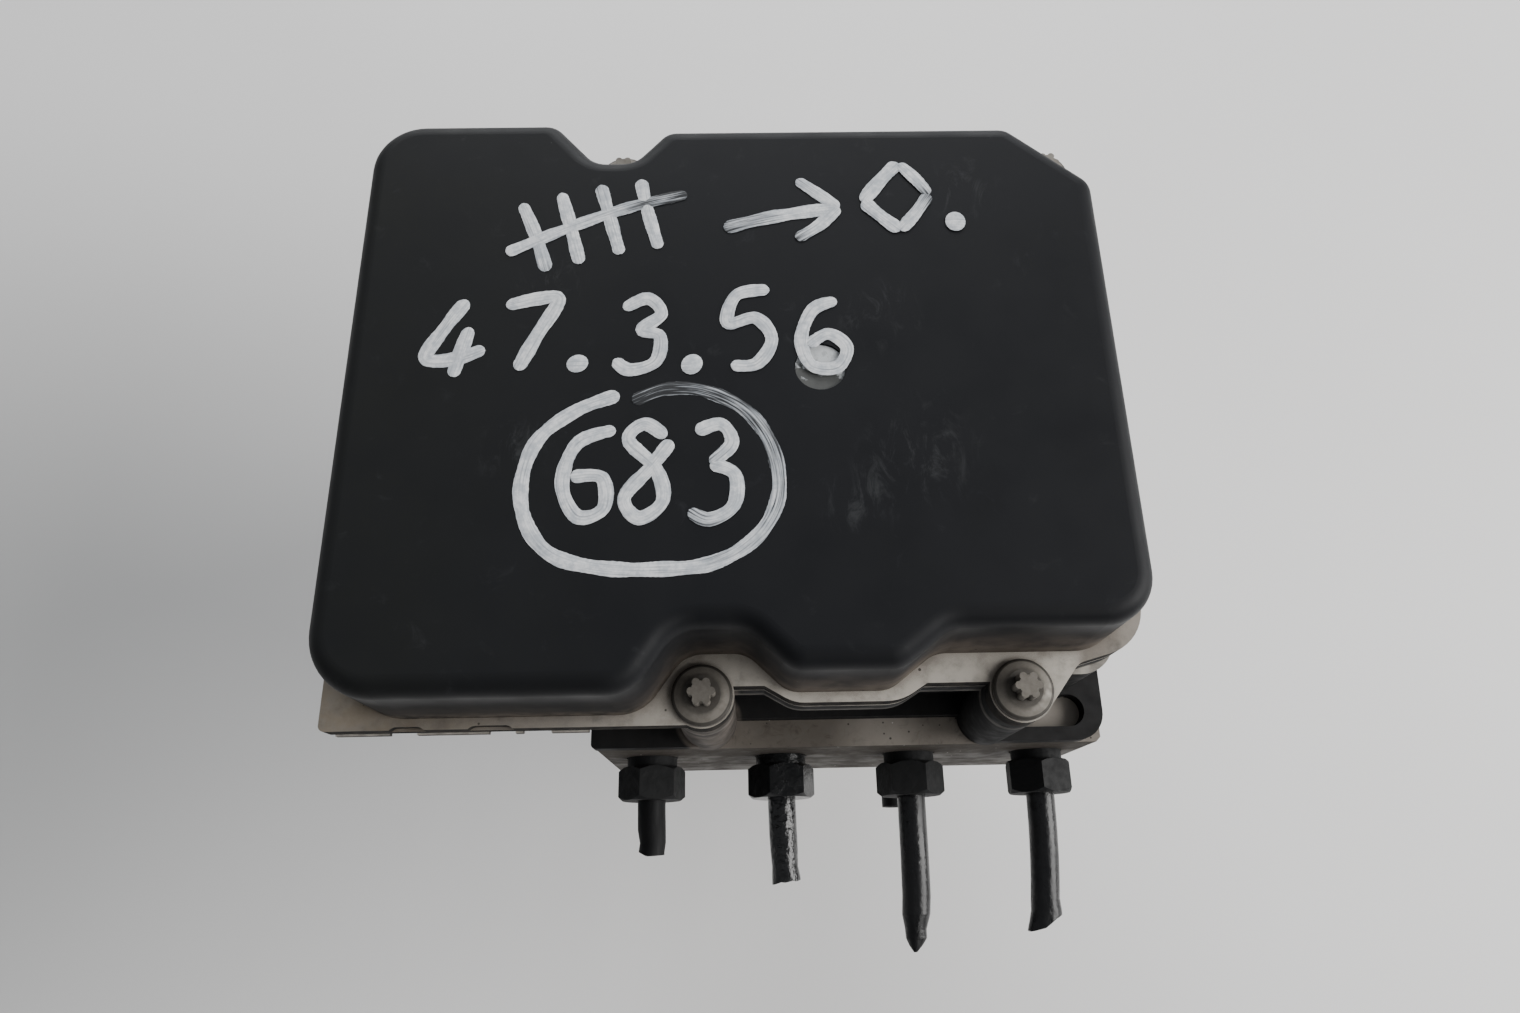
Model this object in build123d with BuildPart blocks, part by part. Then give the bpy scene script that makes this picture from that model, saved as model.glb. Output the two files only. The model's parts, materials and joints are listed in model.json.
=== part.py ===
"""Anti-lock brake hydraulic unit: control unit on a drilled valve block, with the pump motor below.

Millimetres. The origin is the centre of the motor's flat end face, +Z points up the motor's axis
to the control unit's cover, -Y points to the four wheel pipes, and the plug hangs down at -X.
"""

import os
from math import cos, radians, sin

from build123d import *

os.makedirs("parts", exist_ok=True)

# ---------------------------------------------------------------- driving dimensions

# Valve block
block_width = 91.0
block_thickness = 37.0
block_edge = 0.8
drill_runout = 1.0

# Pump motor
motor_radius = 33.0
motor_length = 62.0
can_wall = 1.6
can_end_radius = 5.0
can_flange = 2.0
can_flange_radius = 36.0
motor_screw_circle = 38.5
motor_ear_radius = 6.5
motor_screw_radius = 2.4
motor_screw_depth = 13.0
motor_head_radius = 4.4
motor_head_height = 3.2
magnet_thickness = 6.6
magnet_overlap = 2.0
magnet_arc = 140.0
magnet_gap = 1.0
core_foot = 14.0
core_slots = 12
slot_width = 3.2
slot_depth = 11.9
slot_mouth = 1.6
shaft_radius = 4.0
shaft_foot = 3.2
commutator_radius = 9.0
commutator_length = 10.0
commutator_drop = 2.5
winding_overhang = 4.0
winding_clearance = 1.0
segment_gap = 0.6
tail_bearing_radius = 8.0
tail_bearing_width = 5.0
front_bearing_radius = 11.0
front_bearing_width = 6.0
bearing_groove = 0.8
brush_width = 5.0
brush_height = 7.0
brush_length = 10.0
brush_chamfer = 0.5
brush_wire = 0.7
brush_turns = 4
holder_wall = 1.5
holder_length = 17.5
brush_plate_thickness = 3.0
brush_plate_drop = 1.5
contact_tower_radius = 4.0
contact_tower_offset = 22.0

# Eccentric and pump
eccentric_throw = 1.2
journal_radius = 5.0
journal_length = 12.0
ring_radius = 8.5
ring_length = 9.0
pump_height = 13.0
piston_radius = 3.25
piston_collar_radius = 5.0
piston_collar = 1.7
piston_tail = 2.0
piston_tail_radius = 2.4
pump_bore_length = 16.7
pump_chamber_length = 9.0
pump_chamber_radius = 5.6
pump_plug_radius = 8.0
pump_wire = 0.8
pump_turns = 4
plug_socket = 6.0
plug_socket_depth = 4.0

# Accumulators
accumulator_spacing = 44.0
accumulator_radius = 9.0
accumulator_depth = 25.0
accumulator_cap = 3.0
accumulator_dish = 1.5
accumulator_dish_radius = 4.5
accumulator_piston_length = 7.7
accumulator_piston_wall = 1.6
accumulator_piston_floor = 2.5
accumulator_wire = 1.3
accumulator_turns = 5

# Solenoid valves
valve_columns = 4
valve_row_pitch = 21.0
valve_radius = 4.8
valve_collar_radius = 5.6
valve_collar = 3.0
valve_depth = 12.0
valve_neck_radius = 3.9
valve_neck = 3.0
dome_radius = 3.4
dome_height = 14.5
dome_wall = 0.65
valve_pin_radius = 1.05
valve_seat_radius = 0.6
valve_seat_depth = 2.0
valve_stroke = 0.3
armature_lift = 3.0
armature_top_gap = 0.7
valve_wire = 0.5
valve_turns = 3
coil_gap = 2.5
coil_side_clearance = 0.85
coil_front_clearance = 3.1
coil_height = 16.5
coil_plate = 2.0
coil_waist = 0.9
lead_radius = 0.5
lead_spacing = 5.0

# Ports, tube nuts and pipes
port_spacing = 24.42
port_shift = 0.5
port_drop = 13.2
port_radius = 4.9
port_depth = 12.0
passage_radius = 1.5
cross_passage_radius = 1.3
cross_passage_drop = 6.0
ball_radius = 2.5
nut_across_flats = 11.0
nut_height = 6.0
nut_neck = 1.8
nut_neck_radius = 4.7
nut_thread = 8.0
nut_chamfer = 0.7
pipe_radius = 2.6
pipe_wall = 0.75
pipe_flare_radius = 3.9
pipe_flare = 2.6
pipe_straight = 9.0
pipe_reach = [17.6, 23.0, 34.8, 31.8]
nut_turns = [46.0, 51.0, 10.0, 37.0]
inlet_spacing = 30.0
inlet_inset = 9.5
inlet_radius = 4.9
inlet_depth = 13.0
inlet_drop = 9.5
inlet_bend = 6.0
inlet_reach = 10.6

# Bracket holes in the block's lower face
bracket_spacing = 76.0
bracket_row = 42.0
bracket_hole_radius = 2.5
bracket_hole_depth = 14.0

# Control unit
flange_lift = 19.5
housing_flange = 4.0
cover_flange = 3.8
cover_rise = 18.6
cover_wall = 2.2
cover_top_wall = 2.5
cover_draft = 1.0
cover_edge_radius = 3.0
seam_height = 0.6
seam_depth = 0.8
floor_pocket = 1.5
skirt_height = 3.0
skirt_recess = 4.8
chamber_width = 86.0
chamber_depth = 89.0
chamber_corner = 6.0
chamber_wall = 2.4
seal_width = 1.8
seal_height = 1.3
groove_shift = 0.8
screw_boss_radius = 5.0
screw_head_radius = 4.75
screw_rim = 0.9
screw_bevel = 0.3
screw_head = 1.7
screw_cone_radius = 2.9
screw_star_radius = 2.15
screw_star = 2.9
screw_shank_radius = 2.0
screw_depth = 12.0
front_screw_x = 24.85
rear_screw_x = 39.2
screw_inset = 4.7
screw_side_wall = 1.8
slot_right = 42.2
slot_height = 5.6
slot_centre = 5.2
plug_width = 30.0
plug_length = 88.0
plug_drop = 38.0
plug_wall = 2.0
plug_centre = -66.0
pin_width = 1.5
pin_thickness = 0.8
pin_length = 14.0
pin_pitch = 4.5
pin_columns = 15
pin_rows = 3
pin_row_pitch = 6.0
post_height = 3.0
post_radius = 2.0
middle_post_x = -45.1
board_thickness = 1.6
board_inset = 3.0
chip_size = 20.0
chip_thickness = 1.8
capacitor_radius = 5.0
capacitor_height = 11.5
vent_radius = 4.0
vent_depth = 1.2
vent_lip = 0.8
vent_pin_radius = 0.6
vent_x = -5.8
vent_y = -1.2
skirt_corner = 5.0
plug_corner = 5.0
lever_pin_radius = 2.5
lever_pin_length = 2.5
rib_pitch = 20.0
rib_count = 4
rib_width = 1.6
rib_drop = 6.0
lobe_radius = 0.6
lip_setback = 0.75
lip_reach = 0.55
lip_height = 1.2
nick_radius = 1.6
nick_bite = 0.5
nick_height = 1.5
chip_leg = 1.2
chip_legs = 12
chip_leg_pitch = 1.5
chip_leg_width = 0.5
chip_x = 8.0
chip_y = 8.0
capacitor_x = -58.0
capacitor_margin = 1.5

# Plan of the cover and its flanges: edges, and distances from the block's front and rear
cover_left = -79.9
cover_right = 41.6
cover_front_inset = 2.0
cover_front_step = 11.2
cover_lobe_inset = 5.0
cover_right_step = 10.7
cover_corner_cut = 19.2
cover_rear_step = 7.6
cover_rear_notch = 13.9
cover_rear_inset = 6.0
flange_left = -83.5
flange_right = 45.4
flange_front_inset = 0.3
flange_recess_inset = 6.1
flange_lobe_inset = 3.4
flange_rear_inset = 2.5
flange_waist_inset = 8.8
flange_shoulder_inset = 11.9

# Cut ends of the four pipes, left to right. A section is (distance back from the end, shift to the
# right, half width, half height); the cut runs through points (shift to the right, distance back).
pipe_ends = [
    [(4.6, 0.1, 2.6, 2.6), (2.3, 0.33, 2.4, 2.4), (0.6, 0.1, 2.4, 2.4), (-0.5, 0.1, 2.4, 2.4)],
    [
        (9.0, 0.1, 2.6, 2.6),
        (6.0, 0.2, 2.55, 2.55),
        (3.2, 0.29, 2.4, 2.4),
        (1.5, 0.45, 2.6, 2.4),
        (-0.6, 0.5, 2.65, 2.3),
    ],
    [
        (16.0, -0.1, 2.6, 2.6),
        (9.5, -0.26, 2.6, 2.6),
        (6.3, -0.55, 2.55, 2.5),
        (3.8, -0.8, 1.95, 1.9),
        (2.3, -0.78, 1.9, 1.5),
        (1.1, -0.95, 1.2, 0.9),
        (0.0, -1.12, 0.3, 0.25),
    ],
    [
        (18.0, -0.15, 2.6, 2.6),
        (13.0, -0.45, 2.6, 2.6),
        (9.0, -0.8, 2.6, 2.6),
        (5.5, -1.2, 2.6, 2.6),
        (3.6, -1.2, 2.75, 2.45),
        (1.8, -1.45, 3.0, 2.25),
        (-0.4, -1.8, 3.35, 2.0),
    ],
]
pipe_cuts = [
    [(-3.4, 1.0), (-2.28, 0.75), (-0.82, 0.0), (2.47, 0.16), (3.2, 0.2)],
    [
        (-3.4, 0.1),
        (-1.77, 0.0),
        (-0.5, 0.4),
        (0.2, 0.3),
        (1.79, 0.64),
        (2.3, 0.5),
        (2.97, 0.74),
        (3.4, 0.8),
    ],
    [],
    [
        (-5.9, 0.9),
        (-5.13, 0.4),
        (-4.61, 0.0),
        (-2.18, 0.58),
        (-0.03, 2.08),
        (1.32, 2.71),
        (1.57, 3.65),
        (3.0, 4.0),
    ],
]
pipe_pinch = 2.4

# Clearances
press_gap = 0.02
running_gap = 0.05
sliding_gap = 0.08
seat_gap = 0.1
moving_gap = 0.3

# ---------------------------------------------------------------- levels and places

block_bottom = motor_length
block_top = block_bottom + block_thickness
block_depth = chamber_depth + 2 * (screw_side_wall + screw_shank_radius + screw_inset)
front = -block_depth / 2
rear = block_depth / 2
side = block_width / 2
flange_bottom = block_top + flange_lift
housing_top = flange_bottom + housing_flange
cover_base = housing_top + cover_flange
cover_top = cover_base + cover_rise
floor_top = housing_top - floor_pocket
board_bottom = floor_top + post_height
board_top = board_bottom + board_thickness
port_level = block_top - port_drop
pump_level = block_bottom + pump_height
accumulator_level = block_bottom + block_thickness / 2
port_places = [port_shift + port_spacing * (i - 1.5) for i in range(4)]
# the coils fill the chamber from wall to wall, in two rows
chamber_room = chamber_width - 2 * chamber_wall - 2 * coil_side_clearance
valve_spacing = (chamber_room + coil_gap) / valve_columns
coil_radius = (valve_spacing - coil_gap) / 2
valve_row_front = chamber_wall - chamber_depth / 2 + coil_radius + coil_front_clearance
valve_places = [
    (valve_spacing * (i - (valve_columns - 1) / 2), valve_row_front + valve_row_pitch * row)
    for row in range(2)
    for i in range(valve_columns)
]
screw_places = [
    (-front_screw_x, front + screw_inset),
    (front_screw_x, front + screw_inset),
    (-rear_screw_x, rear - screw_inset),
    (rear_screw_x, rear - screw_inset),
]
motor_screw_places = [
    (motor_screw_circle * cos(radians(a)), motor_screw_circle * sin(radians(a)))
    for a in (90, 210, 330)
]
# Plan of the cover's wall where it meets its flange: x, y, corner radius.
# The front steps back round the two front screws, and the rear round the rear ones.
cover_plan = [
    (cover_left, front + cover_front_inset, 10.0),
    (-34.0, front + cover_front_inset, 7.0),
    (-27.6, front + cover_front_step, 5.5),
    (-18.0, front + cover_front_step, 5.0),
    (-11.6, front + cover_lobe_inset, 5.0),
    (4.2, front + cover_lobe_inset, 5.0),
    (11.6, front + cover_right_step, 5.0),
    (cover_right, front + cover_right_step, 8.0),
    (cover_right, rear - cover_corner_cut, 4.0),
    (28.0, rear - cover_rear_step, 4.0),
    (-30.2, rear - cover_rear_step, 4.0),
    (-35.8, rear - cover_rear_notch, 4.0),
    (-41.9, rear - cover_rear_notch, 4.0),
    (-48.8, rear - cover_rear_inset, 4.0),
    (cover_left, rear - cover_rear_inset, 9.0),
]

# Plan of the joined flanges of cover and housing; the screw bosses are added as circles, and the
# right front boss runs out in a straight edge to the flange's waist.
flange_front = front + flange_front_inset
flange_recess = front + flange_recess_inset
flange_lobe = front + flange_lobe_inset
flange_rear = rear - flange_rear_inset
boss_run_out = radians(36.5)
flange_plan = [
    (flange_left, flange_front, 1.0),
    (-front_screw_x, flange_front, 0.0),
    (-front_screw_x, flange_recess, 0.0),
    (-15.2, flange_recess, 0.4),
    (-10.6, flange_lobe, 6.0),
    (6.0, flange_lobe, 8.0),
    (10.2, flange_recess, 0.4),
    (front_screw_x, flange_recess, 0.0),
    (
        front_screw_x + (screw_boss_radius - running_gap) * cos(boss_run_out),
        front + screw_inset - (screw_boss_radius - running_gap) * sin(boss_run_out),
        0.0,
    ),
    (34.3, front + flange_waist_inset, 3.0),
    (flange_right, front + flange_shoulder_inset, 8.0),
    (flange_right, flange_rear, 4.0),
    (flange_left, flange_rear, 3.0),
]
# The housing's flange stands back from the cover's at the front left, with worn lips along its foot.
housing_front = flange_front + lip_setback
housing_plan = [
    (flange_left, housing_front, 1.0),
    (-front_screw_x, housing_front, 0.0),
    *flange_plan[2:],
]
lip_spans = [(0.2, 8.8), (13.1, 24.5), (28.7, 29.9), (34.4, 40.3)]
nick_spans = [(12.0, 15.0), (24.0, 28.5)]

groove_width = chamber_width + 2 * groove_shift
groove_depth = chamber_depth + 2 * groove_shift
screw_grip = cover_base - block_top + screw_depth - drill_runout
board_left = cover_left + cover_wall + board_inset
board_right = cover_right - cover_wall - board_inset
board_front = front + cover_front_step + cover_wall + board_inset
board_rear = rear - cover_rear_notch - cover_wall - board_inset
capacitor_y = board_rear - capacitor_radius - capacitor_margin
post_front = valve_row_front - lead_radius - post_radius - seat_gap
post_places = [
    (x, y)
    for x in (board_left + 2 * post_radius, middle_post_x, board_right - 2 * post_radius)
    for y in (post_front, board_rear - 2 * post_radius)
]
ball_rows = [valve_row_front, valve_row_front + valve_row_pitch]
ball_level = block_top - cross_passage_drop


def write(piece, name):
    """Label a finished piece and write it as one STEP file."""
    piece.part.label = name
    export_step(piece.part, f"parts/{name}.step")


def turned_profile(plane, points):
    """Closed outline of a turned piece; a point is (distance along the plane's X, radius)."""
    with BuildSketch(plane) as profile:
        with BuildLine():
            Polyline(*points, close=True)
        make_face()
    return profile.sketch


def rounded_outline(plane, corners, grow=0.0):
    """Closed outline from (x, y, radius) corners, all of it moved outwards by grow."""
    with BuildSketch(plane) as outline:
        with BuildLine():
            points = [(x, y) for x, y, r in corners]
            FilletPolyline(*points, radius=[r for x, y, r in corners], close=True)
        make_face()
        if grow:
            offset(amount=grow, kind=Kind.ARC)
    return outline.sketch


def spring_coil(foot, direction, height, radius, wire, turns, wire_sides=6):
    """Helical spring that stands on foot; its wire has flats, so that it stays light."""
    start = Vector(foot) + Vector(direction) * (wire / 2)
    rise = height - wire
    with BuildPart() as coil:
        with BuildLine() as route:
            Helix(pitch=rise / turns, height=rise, radius=radius, center=start, direction=direction)
        with BuildSketch(Plane(origin=route.line @ 0, z_dir=route.line % 0)):
            RegularPolygon(radius=wire / 2, side_count=wire_sides)
        sweep(is_frenet=True)
    return coil.part


def upright(x, y, z):
    """Plane whose X runs up from a foot point, for pieces turned about a vertical axis."""
    return Plane(origin=(x, y, z), x_dir=(0, 0, 1), z_dir=(0, -1, 0))


# Plan of the skirt at the housing's foot.
skirt_plan = [
    (-side, front, block_edge),
    (-front_screw_x, front, 0.0),
    (-front_screw_x, front + skirt_recess, 0.0),
    (front_screw_x, front + skirt_recess, 0.0),
    (front_screw_x, front, 0.0),
    (side, front, skirt_corner),
    (side, rear, block_edge),
    (-side, rear, block_edge),
]

# ---------------------------------------------------------------- valve block

with BuildPart() as valve_block:
    with BuildSketch(Plane.XY.offset(block_bottom)):
        Rectangle(block_width, block_depth)
    extrude(amount=block_thickness)
    chamfer(valve_block.edges().filter_by(Axis.Z), block_edge)
    # motor recess: front bearing seat, then the eccentric's well
    with BuildSketch(Plane.XY.offset(block_bottom)):
        Circle(front_bearing_radius + press_gap)
    extrude(amount=front_bearing_width + seat_gap, mode=Mode.SUBTRACT)
    with BuildSketch(Plane.XY.offset(block_bottom)):
        Circle(ring_radius + eccentric_throw + 2 * moving_gap)
    extrude(amount=pump_height + ring_radius, mode=Mode.SUBTRACT)
    # tapped holes from below: motor screws, bracket screws and master cylinder ports
    with BuildSketch(Plane.XY.offset(block_bottom)):
        with Locations(*motor_screw_places):
            Circle(motor_screw_radius + running_gap)
    extrude(amount=motor_screw_depth + drill_runout, mode=Mode.SUBTRACT)
    with BuildSketch(Plane.XY.offset(block_bottom)):
        with Locations((-bracket_spacing / 2, bracket_row), (bracket_spacing / 2, bracket_row)):
            Circle(bracket_hole_radius)
    extrude(amount=bracket_hole_depth, mode=Mode.SUBTRACT)
    with BuildSketch(Plane.XY.offset(block_bottom)):
        with Locations((0, front + inlet_inset)):
            with GridLocations(inlet_spacing, 0, 2, 1):
                Circle(inlet_radius)
    extrude(amount=inlet_depth, mode=Mode.SUBTRACT)
    # way through for the motor's contact tower
    with BuildSketch(Plane.XY.offset(block_bottom)):
        with Locations((0, contact_tower_offset)):
            Circle(contact_tower_radius + moving_gap)
    extrude(amount=block_thickness, mode=Mode.SUBTRACT)
    # stepped valve bores and screw holes from above
    with BuildSketch(Plane.XY.offset(block_top)):
        with Locations(*valve_places):
            Circle(valve_radius + running_gap)
    extrude(amount=-valve_depth - drill_runout, mode=Mode.SUBTRACT)
    with BuildSketch(Plane.XY.offset(block_top)):
        with Locations(*valve_places):
            Circle(valve_collar_radius + running_gap)
    extrude(amount=-valve_collar, mode=Mode.SUBTRACT)
    with BuildSketch(Plane.XY.offset(block_top)):
        with Locations(*screw_places):
            Circle(screw_shank_radius + running_gap)
    extrude(amount=-screw_depth, mode=Mode.SUBTRACT)
    # wheel ports in the front face, each with its passage under both of its valves
    with BuildSketch(Plane(origin=(0, front, port_level), x_dir=(1, 0, 0), z_dir=(0, 1, 0))):
        with Locations(*[(x, 0) for x in port_places]):
            Circle(port_radius)
    extrude(amount=port_depth, mode=Mode.SUBTRACT)
    with BuildSketch(Plane(origin=(0, front, port_level), x_dir=(1, 0, 0), z_dir=(0, 1, 0))):
        with Locations(*[((x + valve_x) / 2, 0) for x, (valve_x, _) in zip(port_places, valve_places)]):
            Circle(passage_radius)
    extrude(amount=valve_row_front + valve_row_pitch - front, mode=Mode.SUBTRACT)
    # stepped pump bores and cross passages from both sides
    for hand in (-1, 1):
        pump_plane = Plane(origin=(hand * side, 0, pump_level), x_dir=(0, 1, 0), z_dir=(-hand, 0, 0))
        plug_depth = side - ring_radius - eccentric_throw - pump_bore_length - pump_chamber_length
        with BuildSketch(pump_plane):
            Circle(pump_plug_radius + press_gap)
        extrude(amount=plug_depth, mode=Mode.SUBTRACT)
        with BuildSketch(pump_plane):
            Circle(pump_chamber_radius)
        extrude(amount=plug_depth + pump_chamber_length, mode=Mode.SUBTRACT)
        with BuildSketch(pump_plane):
            Circle(piston_radius + running_gap)
        extrude(amount=side - ring_radius, mode=Mode.SUBTRACT)
        for row in ball_rows:
            cross_mouth = (hand * side, row, ball_level)
            cross_plane = Plane(origin=cross_mouth, x_dir=(0, 1, 0), z_dir=(-hand, 0, 0))
            with BuildSketch(cross_plane):
                Circle(ball_radius)
            extrude(amount=2 * ball_radius, mode=Mode.SUBTRACT)
            with BuildSketch(cross_plane):
                Circle(cross_passage_radius)
            extrude(amount=side - valve_spacing / 2, mode=Mode.SUBTRACT)
    # accumulator bores in the rear face, each with its passage to the pump
    with BuildSketch(Plane(origin=(0, rear, accumulator_level), x_dir=(1, 0, 0), z_dir=(0, -1, 0))):
        with Locations((-accumulator_spacing / 2, 0), (accumulator_spacing / 2, 0)):
            Circle(accumulator_radius)
    extrude(amount=accumulator_depth, mode=Mode.SUBTRACT)
    with BuildSketch(Plane(origin=(0, rear, pump_level), x_dir=(1, 0, 0), z_dir=(0, -1, 0))):
        with Locations((-accumulator_spacing / 2, 0), (accumulator_spacing / 2, 0)):
            Circle(passage_radius)
    extrude(amount=rear, mode=Mode.SUBTRACT)
write(valve_block, "valve_block")

with BuildPart() as sealing_balls:
    ball_x = side - ball_radius
    with Locations(*[(hand * ball_x, row, ball_level) for hand in (-1, 1) for row in ball_rows]):
        Sphere(ball_radius - press_gap)
write(sealing_balls, "sealing_balls")

# ---------------------------------------------------------------- solenoid valves

dome_bore = dome_radius - dome_wall
armature_radius = dome_bore - sliding_gap
pin_bore = valve_pin_radius + sliding_gap
dome_inside_top = dome_height - dome_wall
armature_top = dome_inside_top - armature_top_gap
seat_top = -valve_depth + valve_seat_depth

for index, (x, y) in enumerate(valve_places, start=1):
    valve_plane = upright(x, y, block_top)
    valve_axis = Axis((x, y, 0), (0, 0, 1))
    with BuildPart() as valve_body:
        outside = [
            (-valve_depth, 0),
            (-valve_depth, valve_radius),
            (-valve_neck - valve_collar - valve_collar, valve_radius),
            (-valve_neck - valve_collar - valve_collar, valve_neck_radius),
            (-valve_collar - valve_collar, valve_neck_radius),
            (-valve_collar - valve_collar, valve_radius),
            (-valve_collar, valve_radius),
            (-valve_collar, valve_collar_radius),
            (0, valve_collar_radius),
            (0, dome_radius),
            (dome_height - dome_wall, dome_radius),
            (dome_height, dome_radius - dome_wall),
            (dome_height, 0),
        ]
        revolve(turned_profile(valve_plane, outside), axis=valve_axis)
        inside = [
            (-valve_depth, 0),
            (-valve_depth, valve_seat_radius),
            (seat_top, valve_seat_radius),
            (seat_top, pin_bore),
            (-valve_collar, pin_bore),
            (-valve_collar, dome_bore),
            (dome_inside_top, dome_bore),
            (dome_inside_top, 0),
        ]
        revolve(turned_profile(valve_plane, inside), axis=valve_axis, mode=Mode.SUBTRACT)
    write(valve_body, f"valve_body_{index}")

    # the front row is open at rest, the rear row rests on its seat
    is_inlet = index <= valve_columns
    pin_foot = seat_top + (2 * valve_stroke if is_inlet else sliding_gap)
    with BuildPart() as valve_plunger:
        plunger = [
            (pin_foot, 0),
            (pin_foot + valve_pin_radius / 2, valve_pin_radius),
            (armature_lift, valve_pin_radius),
            (armature_lift, armature_radius),
            (armature_top, armature_radius),
            (armature_top, 0),
        ]
        revolve(turned_profile(valve_plane, plunger), axis=valve_axis)
    write(valve_plunger, f"valve_plunger_{index}")

valve_spring_radius = (armature_radius + valve_pin_radius) / 2
with BuildPart() as valve_springs:
    for x, y in valve_places:
        foot = (x, y, block_top - valve_collar)
        height = valve_collar + armature_lift
        add(spring_coil(foot, (0, 0, 1), height, valve_spring_radius, valve_wire, valve_turns, 4))
write(valve_springs, "valve_springs")

with BuildPart() as solenoid_coils:
    for x, y in valve_places:
        coil = [
            (0, dome_radius + seat_gap),
            (0, coil_radius),
            (coil_plate, coil_radius),
            (coil_plate, coil_radius - coil_waist),
            (coil_height - coil_plate, coil_radius - coil_waist),
            (coil_height - coil_plate, coil_radius),
            (coil_height, coil_radius),
            (coil_height, dome_radius + seat_gap),
        ]
        coil_plane = upright(x, y, block_top + moving_gap)
        revolve(turned_profile(coil_plane, coil), axis=Axis((x, y, 0), (0, 0, 1)))
        with BuildSketch(Plane.XY.offset(block_top + moving_gap + coil_height)):
            with Locations((x - lead_spacing, y), (x + lead_spacing, y)):
                Circle(lead_radius)
        extrude(amount=board_bottom - block_top - moving_gap - coil_height)
write(solenoid_coils, "solenoid_coils")

# ---------------------------------------------------------------- pump motor

can_inside = motor_radius - can_wall
# the brush plate sets the commutator's level, and the core fills what is left below it
plate_top = motor_length - brush_plate_drop
plate_bottom = plate_top - brush_plate_thickness
commutator_foot = plate_bottom - commutator_drop - commutator_length
core_length = commutator_foot - winding_clearance - winding_overhang - core_foot
magnet_foot = core_foot - magnet_overlap
magnet_length = core_length + 2 * magnet_overlap
with BuildPart() as motor_can:
    with BuildSketch():
        Circle(motor_radius)
    extrude(amount=motor_length)
    fillet(motor_can.faces().sort_by(Axis.Z)[0].edges(), can_end_radius)
    with BuildSketch(Plane.XY.offset(motor_length - can_flange)):
        Circle(can_flange_radius)
        with Locations(*motor_screw_places):
            Circle(motor_ear_radius)
    extrude(amount=can_flange)
    inside = [
        (can_wall, 0),
        (can_wall, can_inside - can_end_radius + can_wall),
        (can_end_radius, can_inside),
        (motor_length, can_inside),
        (motor_length, 0),
    ]
    revolve(turned_profile(upright(0, 0, 0), inside), axis=Axis.Z, mode=Mode.SUBTRACT)
    # seat for the tail bearing, drawn inwards from the end
    with BuildSketch(Plane.XY.offset(can_wall)):
        Circle(tail_bearing_radius + can_wall)
    extrude(amount=shaft_foot + tail_bearing_width - can_wall)
    with BuildSketch(Plane.XY.offset(can_wall)):
        Circle(tail_bearing_radius + press_gap)
    extrude(amount=shaft_foot + tail_bearing_width, mode=Mode.SUBTRACT)
    with BuildSketch(Plane.XY.offset(motor_length - can_flange)):
        with Locations(*motor_screw_places):
            Circle(motor_screw_radius + seat_gap)
    extrude(amount=can_flange, mode=Mode.SUBTRACT)
write(motor_can, "motor_can")

with BuildPart() as motor_screws:
    for x, y in motor_screw_places:
        head_foot = -motor_head_height
        screw = [
            (head_foot, 0),
            (head_foot, motor_head_radius - nut_chamfer),
            (head_foot + nut_chamfer, motor_head_radius),
            (0, motor_head_radius),
            (0, motor_screw_radius),
            (can_flange + motor_screw_depth, motor_screw_radius),
            (can_flange + motor_screw_depth, 0),
        ]
        screw_plane = upright(x, y, motor_length - can_flange)
        revolve(turned_profile(screw_plane, screw), axis=Axis((x, y, 0), (0, 0, 1)))
        with BuildSketch(Plane.XY.offset(motor_length - can_flange - motor_head_height)):
            with Locations((x, y)):
                RegularPolygon(radius=motor_screw_radius, side_count=6)
        extrude(amount=motor_head_height - nut_chamfer, mode=Mode.SUBTRACT)
write(motor_screws, "motor_screws")

magnet_outer = can_inside - press_gap
magnet_inner = magnet_outer - magnet_thickness
with BuildPart() as motor_magnets:
    with BuildSketch(Plane.XY.offset(magnet_foot)):
        Circle(magnet_outer)
        Circle(magnet_inner, mode=Mode.SUBTRACT)
        for turn in (0, 180):
            edge = radians((180 - magnet_arc) / 2)
            reach = 2 * motor_radius
            with Locations(Rotation(0, 0, turn)):
                with BuildLine():
                    Polyline(
                        (0, 0),
                        (reach * sin(edge), reach * cos(edge)),
                        (-reach * sin(edge), reach * cos(edge)),
                        close=True,
                    )
                make_face(mode=Mode.SUBTRACT)
    extrude(amount=magnet_length)
write(motor_magnets, "motor_magnets")

core_radius = magnet_inner - magnet_gap
slot_root = core_radius - slot_depth
tooth_tip = slot_mouth
with BuildPart() as rotor_core:
    with BuildSketch(Plane.XY.offset(core_foot)):
        Circle(core_radius)
        Circle(shaft_radius + press_gap, mode=Mode.SUBTRACT)
        with PolarLocations((slot_root + core_radius - tooth_tip) / 2, core_slots):
            SlotOverall(core_radius - tooth_tip - slot_root, slot_width, mode=Mode.SUBTRACT)
        with PolarLocations(core_radius - tooth_tip, core_slots):
            Rectangle(4 * tooth_tip, slot_mouth, mode=Mode.SUBTRACT)
    extrude(amount=core_length)
write(rotor_core, "rotor_core")

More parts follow.
